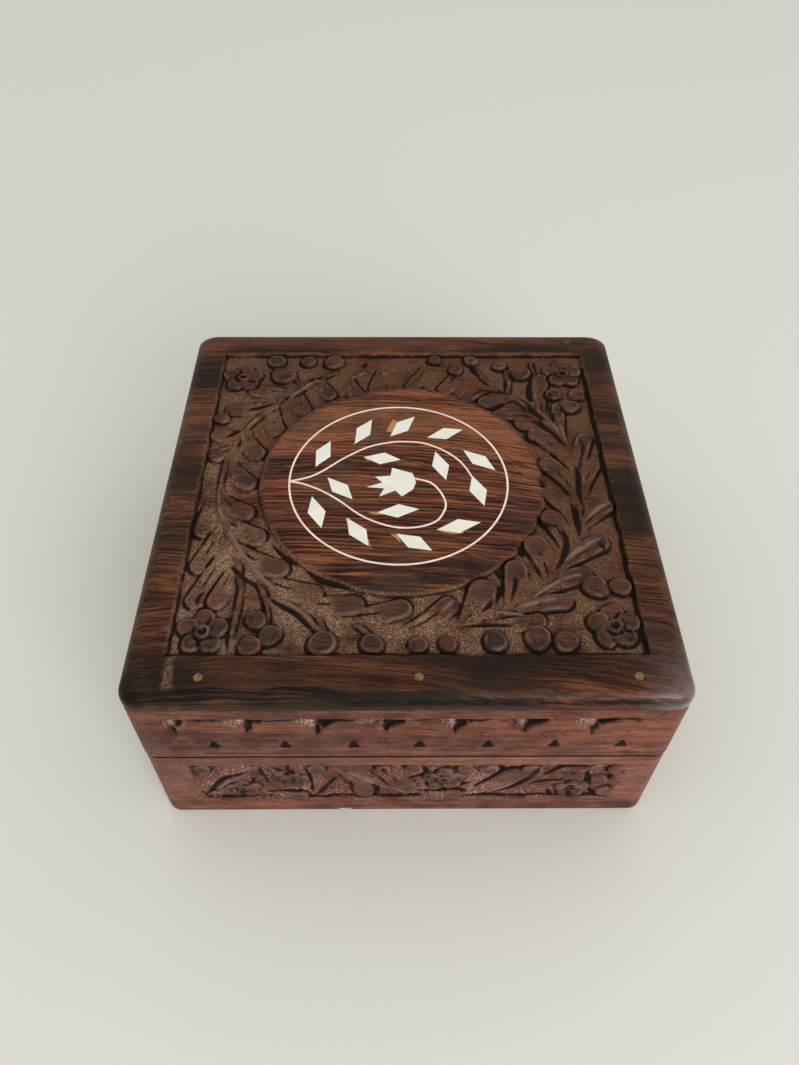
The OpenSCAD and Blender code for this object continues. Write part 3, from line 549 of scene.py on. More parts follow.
    def bud(self, centre, radius, lift=0.0):
        """A low round knob, dished a little, and undercut most on the side that the gouge came from."""
        centre = np.array([centre], float) + 0.12 * self.rng.standard_normal((1, 2))
        place, x, y, gap, _ = self.near(centre, np.array([radius]), 1.2)
        angle = np.arctan2(y - centre[0, 1], x - centre[0, 0])
        lobes = sum(size * np.sin(waves * angle + self.rng.uniform(0, 6))
                    for waves, size in ((2, 0.05), (3, 0.03)))
        gap = gap + radius * lobes
        turn = angle - math.radians(self.rng.normal(*GOUGE_AND_SHADE_SIDE))
        rho = np.clip(1 + gap / radius, 0, 1)
        lean = 0.1 * rho * np.cos(angle - self.rng.uniform(0, 6))
        # A painted sheen, on the far side of the rim from the gouge.
        polished_rim_sheen = hump(rho, 0.84, 0.10) * smooth(-0.2, 0.9, -np.cos(turn + 0.5))
        dish = -0.30 + lift + lean + 0.20 * smooth(0.2, 0.82, rho) - 0.42 * smooth(0.85, 1.0, rho)
        dish = self.depth * dish + self.uneven(x.shape, *BUD_MARKS)
        # The groove is deepest on the gouge's side, and dirt and painted shade darken it most there.
        self.groove(place, gap, *BUD_GROOVE, 0.15 + 0.85 * smooth(-0.3, 0.9, np.cos(turn)))
        self.put(place, gap < 0, dish, 0.08, 1.0, 0.55 * polished_rim_sheen)
        stab = hump(rho, 0.52, 0.13) * smooth(0.1, 0.9, np.cos(turn + self.rng.uniform(-1.5, 1.5)))
        self.score(place, stab * ((gap < 0) * (radius > 1.5)), 0.15, 0.5)

    def flower(self, centre, radius):
        """Round petals about a small pierced eye."""
        petal = 0.42 * radius
        for number in range(PETALS):
            angle = math.radians(90 + 360 / PETALS * number)
            self.bud((centre[0] + (radius - petal) * math.cos(angle),
                      centre[1] + (radius - petal) * math.sin(angle)), petal)
        self.bud(centre, 0.3 * radius, 0.02)
        place, _, _, gap, _ = self.near(np.array([centre], float), np.array([0.1 * radius]), 0.8)
        hole = 1 - smooth(0, 0.45, gap)
        self.height[place] = np.minimum(self.height[place], -self.depth * 0.9 * hole)
        # The eye is painted dark, as shade and dirt in the hole.
        self.paint_dirt_and_shade(place, hole)

    def stem(self, points):
        """A low rounded stalk, thinner at both ends."""
        centres = curve_points(points, 0.5)
        taper = 0.75 + 0.25 * np.sin(np.linspace(0.3, np.pi - 0.3, len(centres)))
        place, _, _, gap, _ = self.near(centres, STEM_RADIUS * taper, 1.0)
        ridge = np.clip(-gap / STEM_RADIUS, 0, 1)
        self.groove(place, gap, *STEM_GROOVE, 0.8)
        self.put(place, gap < 0, self.depth * (-0.62 + 0.4 * ridge**0.7), 0.15, 0.35)

    def cut(self, points, width, deep):
        """A V cut along a curve, running out at both ends."""
        place, gap, share = self.near_curve(points, width, 0.15, 0.6)
        vee = np.clip(1 - gap / (0.75 * width * share), 0, 1)
        self.height[place] -= deep * vee * share
        self.punched[place] *= 1 - vee
        # Dirt and painted shade darken the cut.
        self.paint_dirt_and_shade(place, smooth(0.05, 0.6, vee) * share)

    def ridge(self, points, width):
        """A smooth raised edge along a curve, polished by handling, with a painted sheen on its crest."""
        place, gap, share = self.near_curve(points, width, 0.1, 0.7)
        crest = hump(gap, 0, 0.5 * width * share + 0.05)
        here = self.height[place]
        self.height[place] = here + (np.maximum(here, -0.3 * self.depth) - here) * crest
        self.punched[place] *= 1 - crest
        self.dirt[place] *= 1 - crest
        self.polish[place] = np.maximum(self.polish[place], crest * self.patches(gap.shape, 8, -1.2, 0.5))

    def disc(self, centre, radius):
        """A plain disc left standing. Its edge falls steeply at the front and gently at the back."""
        x, y = np.meshgrid(self.xs, self.ys, indexing="ij")
        gap = np.hypot(x - centre[0], y - centre[1]) - radius + self.uneven(x.shape, (22, 0.22))
        slope = 0.8 + 2.4 * smooth(-10, 25, y + self.uneven(x.shape, (26, 8)))
        self.height = np.maximum(self.height, -self.depth * smooth(0, slope, gap))
        self.punched *= smooth(0.0, 1.0, gap / slope + 0.3)
        self.put(..., gap < 0, -0.30 * smooth(-0.9, 0.0, gap), 0.0, 0.0)
        self.calm = 1 - hump(gap, 0, 1.1)

    def motifs(self, leaves, buds, flowers, on_face=lambda point: point):
        """Carves lists of motifs, each at the place on the face that its drawn place stands for."""
        for root, tip, width, bend in leaves:
            self.leaf(on_face(root), on_face(tip), width, bend)
        for centre, radius in buds:
            self.bud(on_face(centre), radius)
        for centre, radius in flowers:
            self.flower(on_face(centre), radius)

    def knife_work(self, cuts, ridges, on_face=lambda point: point):
        for points, width, deep in cuts:
            self.cut([on_face(point) for point in points], width, deep)
        for points, width in ridges:
            self.ridge([on_face(point) for point in points], width)

    def finish(self):
        """Rounds the cuts a little, and returns what the material needs to know at each point."""
        self.height = 0.45 * self.height + 0.55 * blurred(self.height, 1)
        local = blurred(self.height, 2)
        wide = blurred(self.height, 6)
        below = 0.45 * np.clip((local - self.height) / 0.3, 0, 1)
        marks = {layer: blurred(getattr(self, layer), 1) for layer in ("punched", "tip", "chalk")}
        # Polished spots, which also carry a painted sheen.
        marks["polish"] = self.polish
        # Painted shade and dirt: the dirt and shade layer, and darkening wherever a point lies below its
        # neighbours.
        marks["hollow"] = blurred(self.dirt, 1) + below + np.clip((wide - self.height) / 4, 0, 0.2)
        marks["ridge"] = (self.calm * np.clip((self.height - local) / 0.22, 0, 1)
                          * self.patches(local.shape, 9, -1.1, 0.9))
        marks["carved"] = smooth(0.05, 0.45, -local)
        return {mark: np.clip(values, 0, 1) for mark, values in marks.items()}


def fine_steps(low, high, step):
    return np.linspace(low, high, int(round((high - low) / step)) + 1)


def grid_faces(number):
    """Four-sided faces between the neighbours in a grid of vertex numbers."""
    corners = (number[:-1, :-1], number[1:, :-1], number[1:, 1:], number[:-1, 1:])
    return np.stack(corners, -1).reshape(-1, 4).tolist()


def grid_rim(number):
    """The vertex numbers round the edge of a grid, in order."""
    return np.concatenate([number[:-1, 0], number[-1, :-1], number[:0:-1, -1], number[0, :0:-1]])


def band_faces(first, second):
    """Four-sided faces between two closed rings of vertex numbers."""
    return np.stack([first, second, np.roll(second, -1), np.roll(first, -1)], -1).tolist()


def at_height(plan, z):
    return np.column_stack([plan, np.full(len(plan), z)])


def carried_round(u, v, side):
    """Where a place on the front goes when it is turned to another side."""
    turn = side * math.pi / 2
    return [u * math.cos(turn) - v * math.sin(turn), u * math.sin(turn) + v * math.cos(turn)]


def closed_mesh(name, vertices, faces):
    """A mesh from millimetre vertices, with its faces turned outwards."""
    mesh = bpy.data.meshes.new(name)
    mesh.from_pydata((np.asarray(vertices) * MM).tolist(), [], faces)
    shell = bmesh.new()
    shell.from_mesh(mesh)
    bmesh.ops.recalc_face_normals(shell, faces=shell.faces)
    shell.to_mesh(mesh)
    shell.free()
    return mesh


def new_piece(name, vertices, faces, marks, material, body, slot):
    """Makes a mesh object from millimetre vertices, with a value per vertex for each mark."""
    mesh = closed_mesh(name, vertices, faces)
    for mark, values in marks.items():
        mesh.attributes.new(mark, "FLOAT", "POINT").data.foreach_set("value", np.asarray(values, np.float32))
    mesh.shade_smooth()
    mesh.set_sharp_from_angle(angle=SHARP_ANGLE)
    mesh.materials.append(material)
    piece = bpy.data.objects.new(name, mesh)
    bpy.context.scene.collection.objects.link(piece)
    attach(piece, body)
    return piece


def rounded_outline(half_x, half_y, radius, counts):
    """Points round a rounded rectangle, anticlockwise, as many to each side as counts says."""
    points = []
    for side, count in enumerate(counts):
        long_half, reach = (half_x, half_y) if side % 2 == 0 else (half_y, half_x)
        straight, arc = 2 * (long_half - radius), math.pi / 4 * radius
        run = np.arange(count) / count * (straight + 2 * arc)
        start = np.clip((run - arc) / max(radius, 1e-6), -math.pi / 4, 0)
        end = np.clip((run - arc - straight) / max(radius, 1e-6), 0, math.pi / 4)
        u = -long_half + radius + np.clip(run - arc, 0, straight) + radius * (np.sin(start) + np.sin(end))
        v = -reach + radius - radius * np.cos(start + end)
        points.append(np.column_stack(carried_round(u, v, side)))
    return np.vstack(points)


HEARTWOOD = [(0.415, (0.009, 0.004, 0.0025)), (0.455, (0.036, 0.0105, 0.0050)),
             (0.497, (0.100, 0.028, 0.0110)), (0.540, (0.175, 0.055, 0.0205)),
             (0.585, (0.245, 0.090, 0.037))]
GREY_CAST = (0.060, 0.036, 0.024)
FADED_WOOD = ((0.115, 0.042, 0.036), (0.245, 0.104, 0.090))
RASP_MARKS = (0.055, 0.020, 0.015)
PALE_WALL = (0.340, 0.160, 0.140)
DARK_RAIL = (0.075, 0.024, 0.013)
SOOT = (0.012, 0.0068, 0.0042)
BLACK_VEIN = (0.003, 0.0016, 0.0014)
# A painted highlight for the glossy front right corner of the board.
CORNER_HIGHLIGHT = (0.190, 0.135, 0.140)
OPEN_PORE = (0.006, 0.003, 0.002)
CUT_WOOD = (0.026, 0.0125, 0.009)
OLD_DUST = (0.235, 0.165, 0.130)
DARK_GROUND = (0.082, 0.0300, 0.0115)
STAINED_TIP = ((0.025, 0.0150, 0.0110), (0.078, 0.0275, 0.0170))
# Near black, for painted shade and dirt in cuts and hollows.
SHADE_AND_DIRT = (0.0030, 0.0015, 0.0012)
WORN_RIDGE = (0.20, 0.105, 0.078)
# Painted sheen on polished ridges and rims, on the board and on the walls.
BOARD_SHEEN = (0.200, 0.120, 0.102)
WALL_SHEEN = (0.200, 0.132, 0.125)
# A speckled painted highlight on pocket walls that face the light.
HIGHLIGHT_SPECKS = (0.43, 0.28, 0.235)
SCRAPE = (0.24, 0.135, 0.065)
# The colours of a punched ground, from the bottom of its dots to the tops between them.
GOLDEN_PUNCH = ((0.028, 0.013, 0.009), (0.106, 0.050, 0.029), (0.220, 0.122, 0.070), (0.50, 0.35, 0.21))
RED_PUNCH = ((0.020, 0.007, 0.005), (0.080, 0.028, 0.019), (0.160, 0.064, 0.047), (0.52, 0.33, 0.27))


def rosewood(name, along, faded, punch_colours, board=False):
    """Waxed rosewood: wavy near-black streaks in red brown, open pores, and a rough punched ground.

    Faded is the share of the walls' duller colour, and board adds the wear of the top board and a
    painted highlight on its front right corner. The marks also paint shade and dirt into the hollows,
    a sheen onto polished parts and a speckled highlight onto pocket walls that face the light.
    """
    s = new_material(name)
    place = s.place()
    x, y, z = (s.node("SeparateXYZ", {}, {0: place}, axis) for axis in range(3))
    run, across = (x, y) if along == "X" else (y, x)
    up = z

    def streaks(lengthwise, crosswise, detail=2.0, rough=0.5):
        """Noise drawn out along the grain, which is as wavy as across and up are by then."""
        return s.cloud(s.vector(run * lengthwise, across * crosswise, up * crosswise), detail, rough)

    def blots(fineness, detail=2.0, rough=0.5, shift=0):
        first = x * fineness + shift if shift else x * fineness
        return s.cloud(s.vector(first, y * fineness, z * fineness), detail, rough)

    warp = streaks(13, 30) - 0.5
    drift = streaks(70, 170, 1.0) - 0.5
    across = across + warp * 0.010 + drift * 0.0015
    if board:
        across = across + x * 0.08 + x * x * 0.6
    up = z + warp * 0.006 + drift * 0.0010
    broad = streaks(8, 62)
    streak = streaks(19, 520, 2.0, 0.6)
    fine = streaks(44, 1700, 2.0, 0.6)
    hair = streaks(110, 4000, 1.0)
    pores = streaks(420, 4600, 1.0).over(0.60, 0.70)
    figure = s.maths("SINE", across * 4100 + streak * 10 + warp * 9) * 0.5 + 0.5
    figured = abs(y).over(0.0655, 0.0630)
    tone = broad * 0.34 + streak * 0.31 + fine * 0.30 + hair * 0.20 + (figure - 0.5) * figured * 0.06 - 0.069
    if board:
        (centre_x, _), radius = MEDALLION
        off_centre = s.vector(x - centre_x * MM, y, 0)
        from_middle = s.node("VectorMath", {"operation": "LENGTH"}, {0: off_centre}, 1)
        tone = tone + from_middle.over((radius + 0.8) * MM, (radius - 0.8) * MM) * y * 1.6
    wood = s.node("ValToRGB", {"stops": HEARTWOOD}, {"Fac": tone})
    wood = (blots(60).over(0.48, 0.72) * 0.5).mix(wood, GREY_CAST)

    mottle = blots(130, 3.0, shift=7)
    plain = mottle.over(0.38, 0.62).mix(*FADED_WOOD)
    plain = (blots(1000, 3.0, 0.7).over(0.54, 0.38) * 0.5).mix(plain, RASP_MARKS)
    plain = (z.over(0.040, 0.035) * z.over(0.004, 0.012) * 0.35).mix(plain, PALE_WALL)
    plain = (z.over(0.040, 0.046) * 0.25).mix(plain, DARK_RAIL)
    wood = s.node("Mix", {"data_type": "RGBA"}, {"Factor": faded, 6: wood, 7: plain}, 2)

    if board:
        past_field = s.maths("MAXIMUM", abs(x) - FIELD_HALF[0] * MM, abs(y) - FIELD_HALF[1] * MM)
        smoky = s.cloud(s.vector(x * 22 + 4, y * 75, z * 75)).over(0.40, 0.60)
        darkened = 0.36 + smoky * 0.46
        for outwards, more in ((y, 0.12), (-y, 0.14), (x, 0.1)):
            darkened = darkened + outwards.over(0.0620, 0.0665) * more
        sooty = (-x).over(0.040, 0.068) * (-y).over(0.058, 0.069) * mottle.over(0.30, 0.62)
        wood = (past_field.over(-0.0005, 0.001) * darkened + sooty * 0.5).mix(wood, SOOT)
        vein = abs(y + 0.0761 + warp * 0.005 + drift * 0.004 + streak * 0.0012)
        vein_half = (1 - x.over(-0.010, 0.045) * 0.55) * 0.0009
        broken = (streak * 0.3 + fine * 0.7).over(0.68, 0.46)
        inked = (1 - (vein - vein_half).over(0.0, 0.0008)) * z.over(0.0662, 0.0674) * broken
        wood = (inked * 0.96).mix(wood, BLACK_VEIN)
        # The front right corner: glossier from handling in the coat, with a painted highlight in its colour.
        glossy_highlit_corner = x.over(0.058, 0.075) * (-y).over(0.055, 0.074)
        wood = (glossy_highlit_corner * 0.45).mix(wood, CORNER_HIGHLIGHT)
    wood = (pores * 0.7).mix(wood, OPEN_PORE)

    punched, tip, hollow, ridge, carved, chalk, polish = (
        s.node("Attribute", {"attribute_name": mark}, output=2)
        for mark in ("punched", "tip", "hollow", "ridge", "carved", "chalk", "polish"))
    wood = (carved * 0.42).mix(wood, CUT_WOOD)
    grit = blots(1900, 3.0, 0.75)
    dots = s.node("TexVoronoi", {"feature": "F1"}, {"Vector": place, "Scale": 1900.0, "Randomness": 0.75})
    patch = blots(75)
    speckle = grit * 0.7 + dots * 0.3 + (patch - 0.5) * 0.25
    stops = list(zip((0.33, 0.45, 0.54, 0.68), punch_colours))
    ground = s.node("ValToRGB", {"stops": stops}, {"Fac": speckle})
    if board:
        shaded = (x * 4 + y * 5 + (patch - 0.5) * 0.9 + (mottle - 0.5) * 0.7).over(-0.45, 0.30)
        ground = (shaded * 0.75).mix(ground, DARK_GROUND)
        dusty = (-x).over(0.015, 0.050) * (-y).over(0.030, 0.050) * speckle.over(0.38, 0.56)
        ground = (dusty * 0.5).mix(ground, OLD_DUST)
    wood = (punched * patch.over(0.22, 0.58) * 0.86).mix(wood, ground)
    wood = (tip * 0.6).mix(wood, blots(105, shift=3).over(0.42, 0.60).mix(*STAINED_TIP))
    # Painted shade and dirt, near black, in cuts, grooves, hollows and the seam.
    wood = (hollow.over(0.09, 0.62) * 0.94).mix(wood, SHADE_AND_DIRT)
    wood = (ridge.over(0.35, 1.1) * 0.32).mix(wood, WORN_RIDGE)
    # A painted sheen on polished ridges and rims.
    wood = (polish * 0.7).mix(wood, BOARD_SHEEN if board else WALL_SHEEN)
    # A speckled painted highlight on the pocket walls that face the light.
    wood = (chalk * (grit * 0.7 + dots * 0.3).over(0.38, 0.60)).mix(wood, HIGHLIGHT_SPECKS)
    if board:
        beside = abs(x + 0.0622 + drift * 0.006).over(0.0003, 0.0020)
        past_end = abs(y + 0.0695).over(0.0035, 0.0062)
        scrape = (1 - beside) * (1 - past_end) * mottle.over(0.40, 0.60)
        wood = (scrape * grit.over(0.40, 0.60) * 0.8).mix(wood, SCRAPE)

    level = (dots * 0.5 + grit * 0.7) * punched * 0.9 + tone * 0.12 - pores * 0.06
    shine = tip * 0.08 + ridge.over(0.3, 1.0) * 0.45 + (0.10 if board else 0.03)
    shine = shine * (1 - punched * 0.9) + polish * 0.55
    if board:
        rounded = 1 - z.over(0.0685, 0.0706)
        shine = shine * (1 - y.over(0.01, 0.065) * 0.8) + rounded * (0.02 + glossy_highlit_corner * 1.3) * (1 - inked)
    rough = 0.46 + punched * 0.25 - tip * 0.06 + (fine - 0.5) * 0.25
    return s.finish({"Base Color": wood, "Roughness": rough, "Normal": level.bump(0.7, 0.0006),
                     "Specular IOR Level": 0.08, "Coat Weight": shine, "Coat Roughness": 0.30,
                     "Coat IOR": 1.45})


rosewood_board = rosewood("rosewood_board", "X", 0.0, GOLDEN_PUNCH, board=True)

field = Relief(fine_steps(-FIELD_HALF[0], FIELD_HALF[0], GRID_STEP),
               fine_steps(-FIELD_HALF[1], FIELD_HALF[1], GRID_STEP), FIELD_DEPTH, 3)
field.lower_ground(-FIELD_HALF[0], FIELD_HALF[0], -FIELD_HALF[1], FIELD_HALF[1], GROOVED_SIDES)
for points in FIELD_STEMS:
    field.stem(points)
field.motifs(FIELD_LEAVES, FIELD_BUDS, FIELD_FLOWERS)
field.disc(*MEDALLION)
field.knife_work(FIELD_CUTS, FIELD_RIDGES)
field_marks = field.finish()


def board_mesh():
    """The carved grid, the plain border round it, the rounded edge and the flat underside."""
    nx, ny = field.height.shape
    x, y = np.meshgrid(field.xs, field.ys, indexing="ij")
    number = np.arange(nx * ny).reshape(nx, ny)
    rim = grid_rim(number)
    flat = np.column_stack([x.ravel(), y.ravel(), (TOP_Z + field.height).ravel()])
    inner = flat[rim, :2]

    def outline(inset, corner):
        return rounded_outline(BOARD_HALF[0] - inset, BOARD_HALF[1] - inset, corner, (nx - 1, ny - 1) * 2)

    start = outline(EDGE_ROUND, BOARD_CORNER - EDGE_ROUND + CORNER_SANDING)
    loops = [at_height(inner * (1 - share) + start * share, TOP_Z) for share in (0.04, 0.35, 0.7, 1.0)]
    for a in np.radians(np.linspace(9, 90, 10)):
        inset = EDGE_ROUND * (1 - math.sin(a))
        corner = BOARD_CORNER - inset + CORNER_SANDING * smooth(0, 3, inset)
        loops.append(at_height(outline(inset, corner), TOP_Z - EDGE_ROUND * (1 - math.cos(a))))
    for inset, rise in ((0.0, 0.3), (0.3, 0.02)):
        loops.append(at_height(outline(inset, BOARD_CORNER - inset), BOARD_BOTTOM + rise))
    vertices = np.vstack([flat, *loops])
    faces = grid_faces(number)
    previous = rim
    for k in range(len(loops)):
        current = len(flat) + k * len(rim) + np.arange(len(rim))
        faces += band_faces(previous, current)
        previous = current
    faces.append(previous.tolist())
    plain = np.zeros(len(vertices) - len(flat))
    return vertices, faces, {mark: np.concatenate([v.ravel(), plain]) for mark, v in field_marks.items()}


top_board = new_piece("top_board", *board_mesh(), rosewood_board, "lid", "rosewood")
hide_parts("lid_top_board")

# The rails and walls are rosewood too, glued edge to face: the front and back pieces run the full
# width with round corners, and the side pieces butt between them. Bands are carved in their faces.
WALL_T = 10.0
LIP = 0.3
FRAME_HALF = (BOARD_HALF[0] - LIP, BOARD_HALF[1] - LIP)
BASE_H = 37.0
SEAM = 0.2
RIM_EASE = 0.05
RIM_INSET = 0.9
INNER_SHORT = 1.0
# How far a long edge stands back at each height from it, and the rows of points beside it.
EASED = ((0, 0.4), (0.18, 0.15), (0.45, 0))
FOOT_ROWS = np.array([0, 0.18, 0.45, 0.8, 1.1])
RIM_ROWS = np.array([0.45, 0.18, 0])
BAND_END = 10.7
BAND_DEPTH = 1.2
BAND_STEP = 0.36
SCROLL_Z = 8.0
SCROLL_H = 23.0
ARCH_Z = BASE_H + SEAM + 10.3
ARCH_H = 12.0
ARCH_START = 11.5
ARCH_PITCH = 19.0
ARCH_RISE = 11.0
NICK_W = 3.6
NICK_H = 4.0
NICK_DROP = 4.5
DRAWN_BAND = 130.0
CORNERS = {"lid": 4.5, "base": 5.0}
CHIP_X = -19.2
CHIP_W = 3.6
CHIP_H = 1.2
CHIP_DEEP = 1.5

BAND_LEAVES = [
    ((-63.5, 0), (-35, 22.5), 6.5, 0.2),
    ((-62, 1.5), (-46, 14), 5, 0.22),
    ((-21.5, 20), (-12.4, 0.8), 6, 0.2),
    ((-12, 21), (1, 4.5), 7.5, 0.2),
    ((-30, 22), (-26.5, 2.5), 5, 0.25),
    ((22, 1.5), (38.5, 22), 7, -0.24),
    ((20, 3), (33.5, 19), 7.5, -0.15),
    ((39, 14), (55, 22), 4.5, 0.2),
    ((37.5, 7), (54, 12.5), 5, 0.22),
    ((-43, 22), (-38, 8), 6, 0.2),
    ((-45, 3), (-30, 1.8), 4.5, -0.1),
    ((2, 2), (18, 3.4), 4.5, -0.12),
]
BAND_BUDS = [((2.3, 20.5), 2.7), ((61.2, 4), 2.7), ((58.4, 12.2), 2.8), ((62, 19), 2.2), ((-60, 20), 2.6),
             ((-26.5, 20), 2.6), ((24.5, 19.4), 3), ((17.6, 20), 2.4), ((-7, 19.6), 2.4)]
BAND_FLOWERS = [((-49.5, 7), 5.4), ((-33.5, 12.5), 4.6), ((11.5, 12.5), 6.6), ((51, 6.2), 5.4)]
BAND_CUTS = [
    ([(-62, 0.8), (-58, 8), (-54.5, 13), (-50, 16), (-45.5, 19)], 1.3, 0.6),
    ([(-60.5, 2.5), (-56, 8.5), (-52, 11.6), (-48.6, 12.4)], 1.3, 0.6),
    ([(-27.6, 1.2), (-25, 6.5), (-21, 13)], 1.5, 0.6),
    ([(-10, 11), (-8.6, 5), (-9.4, 1)], 1.0, 0.6),
    ([(-17, 12.5), (-15.8, 6)], 0.9, 0.5),
    ([(26.5, 1.6), (33, 7), (37, 13), (39.6, 22)], 2.4, 0.8),
    ([(41.6, 14.6), (46, 20.6), (50, 22), (56, 21.4)], 1.8, 0.7),
    ([(37.5, 7.6), (43, 11), (49.5, 12.6)], 1.2, 0.6),
    ([(43.8, 4.6), (45, 0.8)], 1.2, 0.7),
    ([(56.6, 5), (58.2, 1.4)], 1.2, 0.7),
    ([(54, 17.5), (55, 12)], 1.0, 0.6),
    ([(5, 21), (6, 16), (2, 13)], 1.3, 0.6),
    ([(20.4, 9.6), (15, 7), (9, 3.4)], 1.4, 0.6),
    ([(27.6, 22.4), (28.2, 18), (25, 16.6)], 1.1, 0.6),
    ([(-42.6, 22), (-36, 19.4), (-33, 16)], 1.2, 0.5),
    ([(-7.2, 22), (-5.6, 17)], 1.2, 0.6),
    ([(0, 13), (4, 14), (9, 17)], 1.0, 0.5),
]
BAND_RIDGES = [
    ([(-21.5, 19.5), (-18, 16), (-14.6, 9)], 1.3), ([(-17, 17.4), (-12, 12.4), (-6, 8), (0.5, 4.4)], 2.6),
    ([(-58.6, 5), (-54, 10.6), (-49, 14)], 0.9), ([(25, 3), (31, 8), (34.4, 14)], 1.1),
    ([(46, 5), (50, 9), (55, 6.4)], 0.9), ([(40.4, 12), (44, 16)], 1.0),
]
BAND_GROOVES = {"left": 0.0, "right": 0.0, "front": 0.5, "back": 0.9}


def scroll_band(half, seed):
    """The lower band: running leaves and flowers, with the ground cut away between them."""
    top = SCROLL_Z + SCROLL_H
    band = Relief(fine_steps(-half, half, BAND_STEP), fine_steps(SCROLL_Z, top, BAND_STEP), BAND_DEPTH, seed)
    band.lower_ground(-half - 1, half + 1, SCROLL_Z, top, BAND_GROOVES)
    stretch = 2 * half / DRAWN_BAND

    def on_band(point):
        return (point[0] * stretch, point[1] + SCROLL_Z)

    band.motifs(BAND_LEAVES, BAND_BUDS, BAND_FLOWERS, on_band)
    band.knife_work(BAND_CUTS, BAND_RIDGES, on_band)
    from_ends = np.minimum(band.xs + half, half - band.xs)[:, None]
    fade = smooth(0.5, 3.0, from_ends + band.uneven(band.height.shape, (10, 1.5)))
    for layer in (band.height, band.punched, band.dirt):
        layer *= fade
    return band


def arch_band(half, seed):
    """The lid's band: a row of arches, punched pockets between them, and a nick under each."""
    foot = ARCH_Z - NICK_DROP
    top = ARCH_Z + ARCH_H
    xs, zs = fine_steps(-half, half, BAND_STEP), fine_steps(foot - 0.5, top, BAND_STEP)
    band = Relief(xs, zs, BAND_DEPTH, seed)
    x, z = np.meshgrid(band.xs, band.ys, indexing="ij")
    shape = x.shape
    number = np.round((x + half - ARCH_START) / ARCH_PITCH)
    centre = ARCH_START - half + number * ARCH_PITCH + 0.5 * band.rng.standard_normal(20)[number.astype(int)]
    out = (x - centre) / (ARCH_PITCH / 2)
    up = (z - ARCH_Z) / ARCH_RISE
    wobble = band.uneven(shape, (8, 0.06), (3, 0.035))
    crown = np.hypot(out, np.clip(up, 0, None)) - 1 + wobble
    from_ends = smooth(0.0, 0.5, np.minimum(x + half, half - x))
    ends = from_ends * smooth(0, 0.25, top - 0.9 - z + 4 * wobble) * (z > ARCH_Z)
    rise = smooth(0.0, 0.7, up)
    pocket = smooth(0.0, 0.045, crown) * ends
    lean = smooth(-0.5, 0.5, -out)
    band.height = -BAND_DEPTH * pocket * (0.35 + 0.6 * rise + 0.5 * rise * lean)
    band.height += pocket * band.uneven(shape, (2, 0.14), (5, 0.12))
    band.punched = pocket * (1 - 0.8 * lean)
    # A speckled painted highlight on the side of each pocket that faces the light.
    band.chalk = pocket * (1 - lean) * smooth(0.35, 0.8, up) * band.patches(shape, 9, -0.8, 0.6)
    # A ragged shallow cut just under the band's top edge is painted dark, as shade under the edge, and a
    # painted shadow darkens the side of each pocket away from the light.
    rag = band.uneven(shape, (6, 0.25), (2, 0.1))
    under_edge = hump(z - ARCH_Z - ARCH_H + 1.05 + rag, 0, 0.34) * smooth(-0.3, -0.05, crown)
    under_edge *= band.patches(shape, 12, -1.2, 0.0) * from_ends
    band.height -= 0.3 * under_edge
    shadow = pocket * lean * smooth(0.3, 0.75, up) * band.patches(shape, 5, -1.6, 0.4)
    band.dirt = np.maximum(shadow, under_edge)
    # A nick under each arch, painted near black as shade and dirt in the cut.
    share = np.clip((z - foot) / NICK_H, 0, 1)
    nick = (np.abs(x - centre) < NICK_W / 2 * (1 - share)) & (z > foot) & (share < 1)
    band.height = np.where(nick, -0.25 - 0.95 * share, band.height)
    band.dirt = np.where(nick, 0.95, band.dirt)
    return band


def outer_edge(band, half, reach, corner):
    """The outer face seen from above: each point's u and v, and which way is outwards there.

    A corner of 0 leaves the ends square, for a piece that butts between the others.
    """
    flat_half = half - corner
    left = np.linspace(-flat_half, band.xs[0], 8)[:-1]
    edge = [(u, -reach, 0.0, -1.0) for u in np.concatenate([left, band.xs, -left[::-1]])]
    if corner:
        end = [(-half, v, -1.0, 0.0) for v in np.linspace(-reach + WALL_T, -reach + corner, 3)[:-1]]
        for a in np.radians(np.linspace(0, 90, 13))[:-1]:
            cos, sin = math.cos(a), math.sin(a)
            end.append((-flat_half - corner * cos, -reach + corner - corner * sin, -cos, -sin))
        edge = end + edge + [(-u, v, -out_u, out_v) for u, v, out_u, out_v in end[::-1]]
    return np.array(edge)


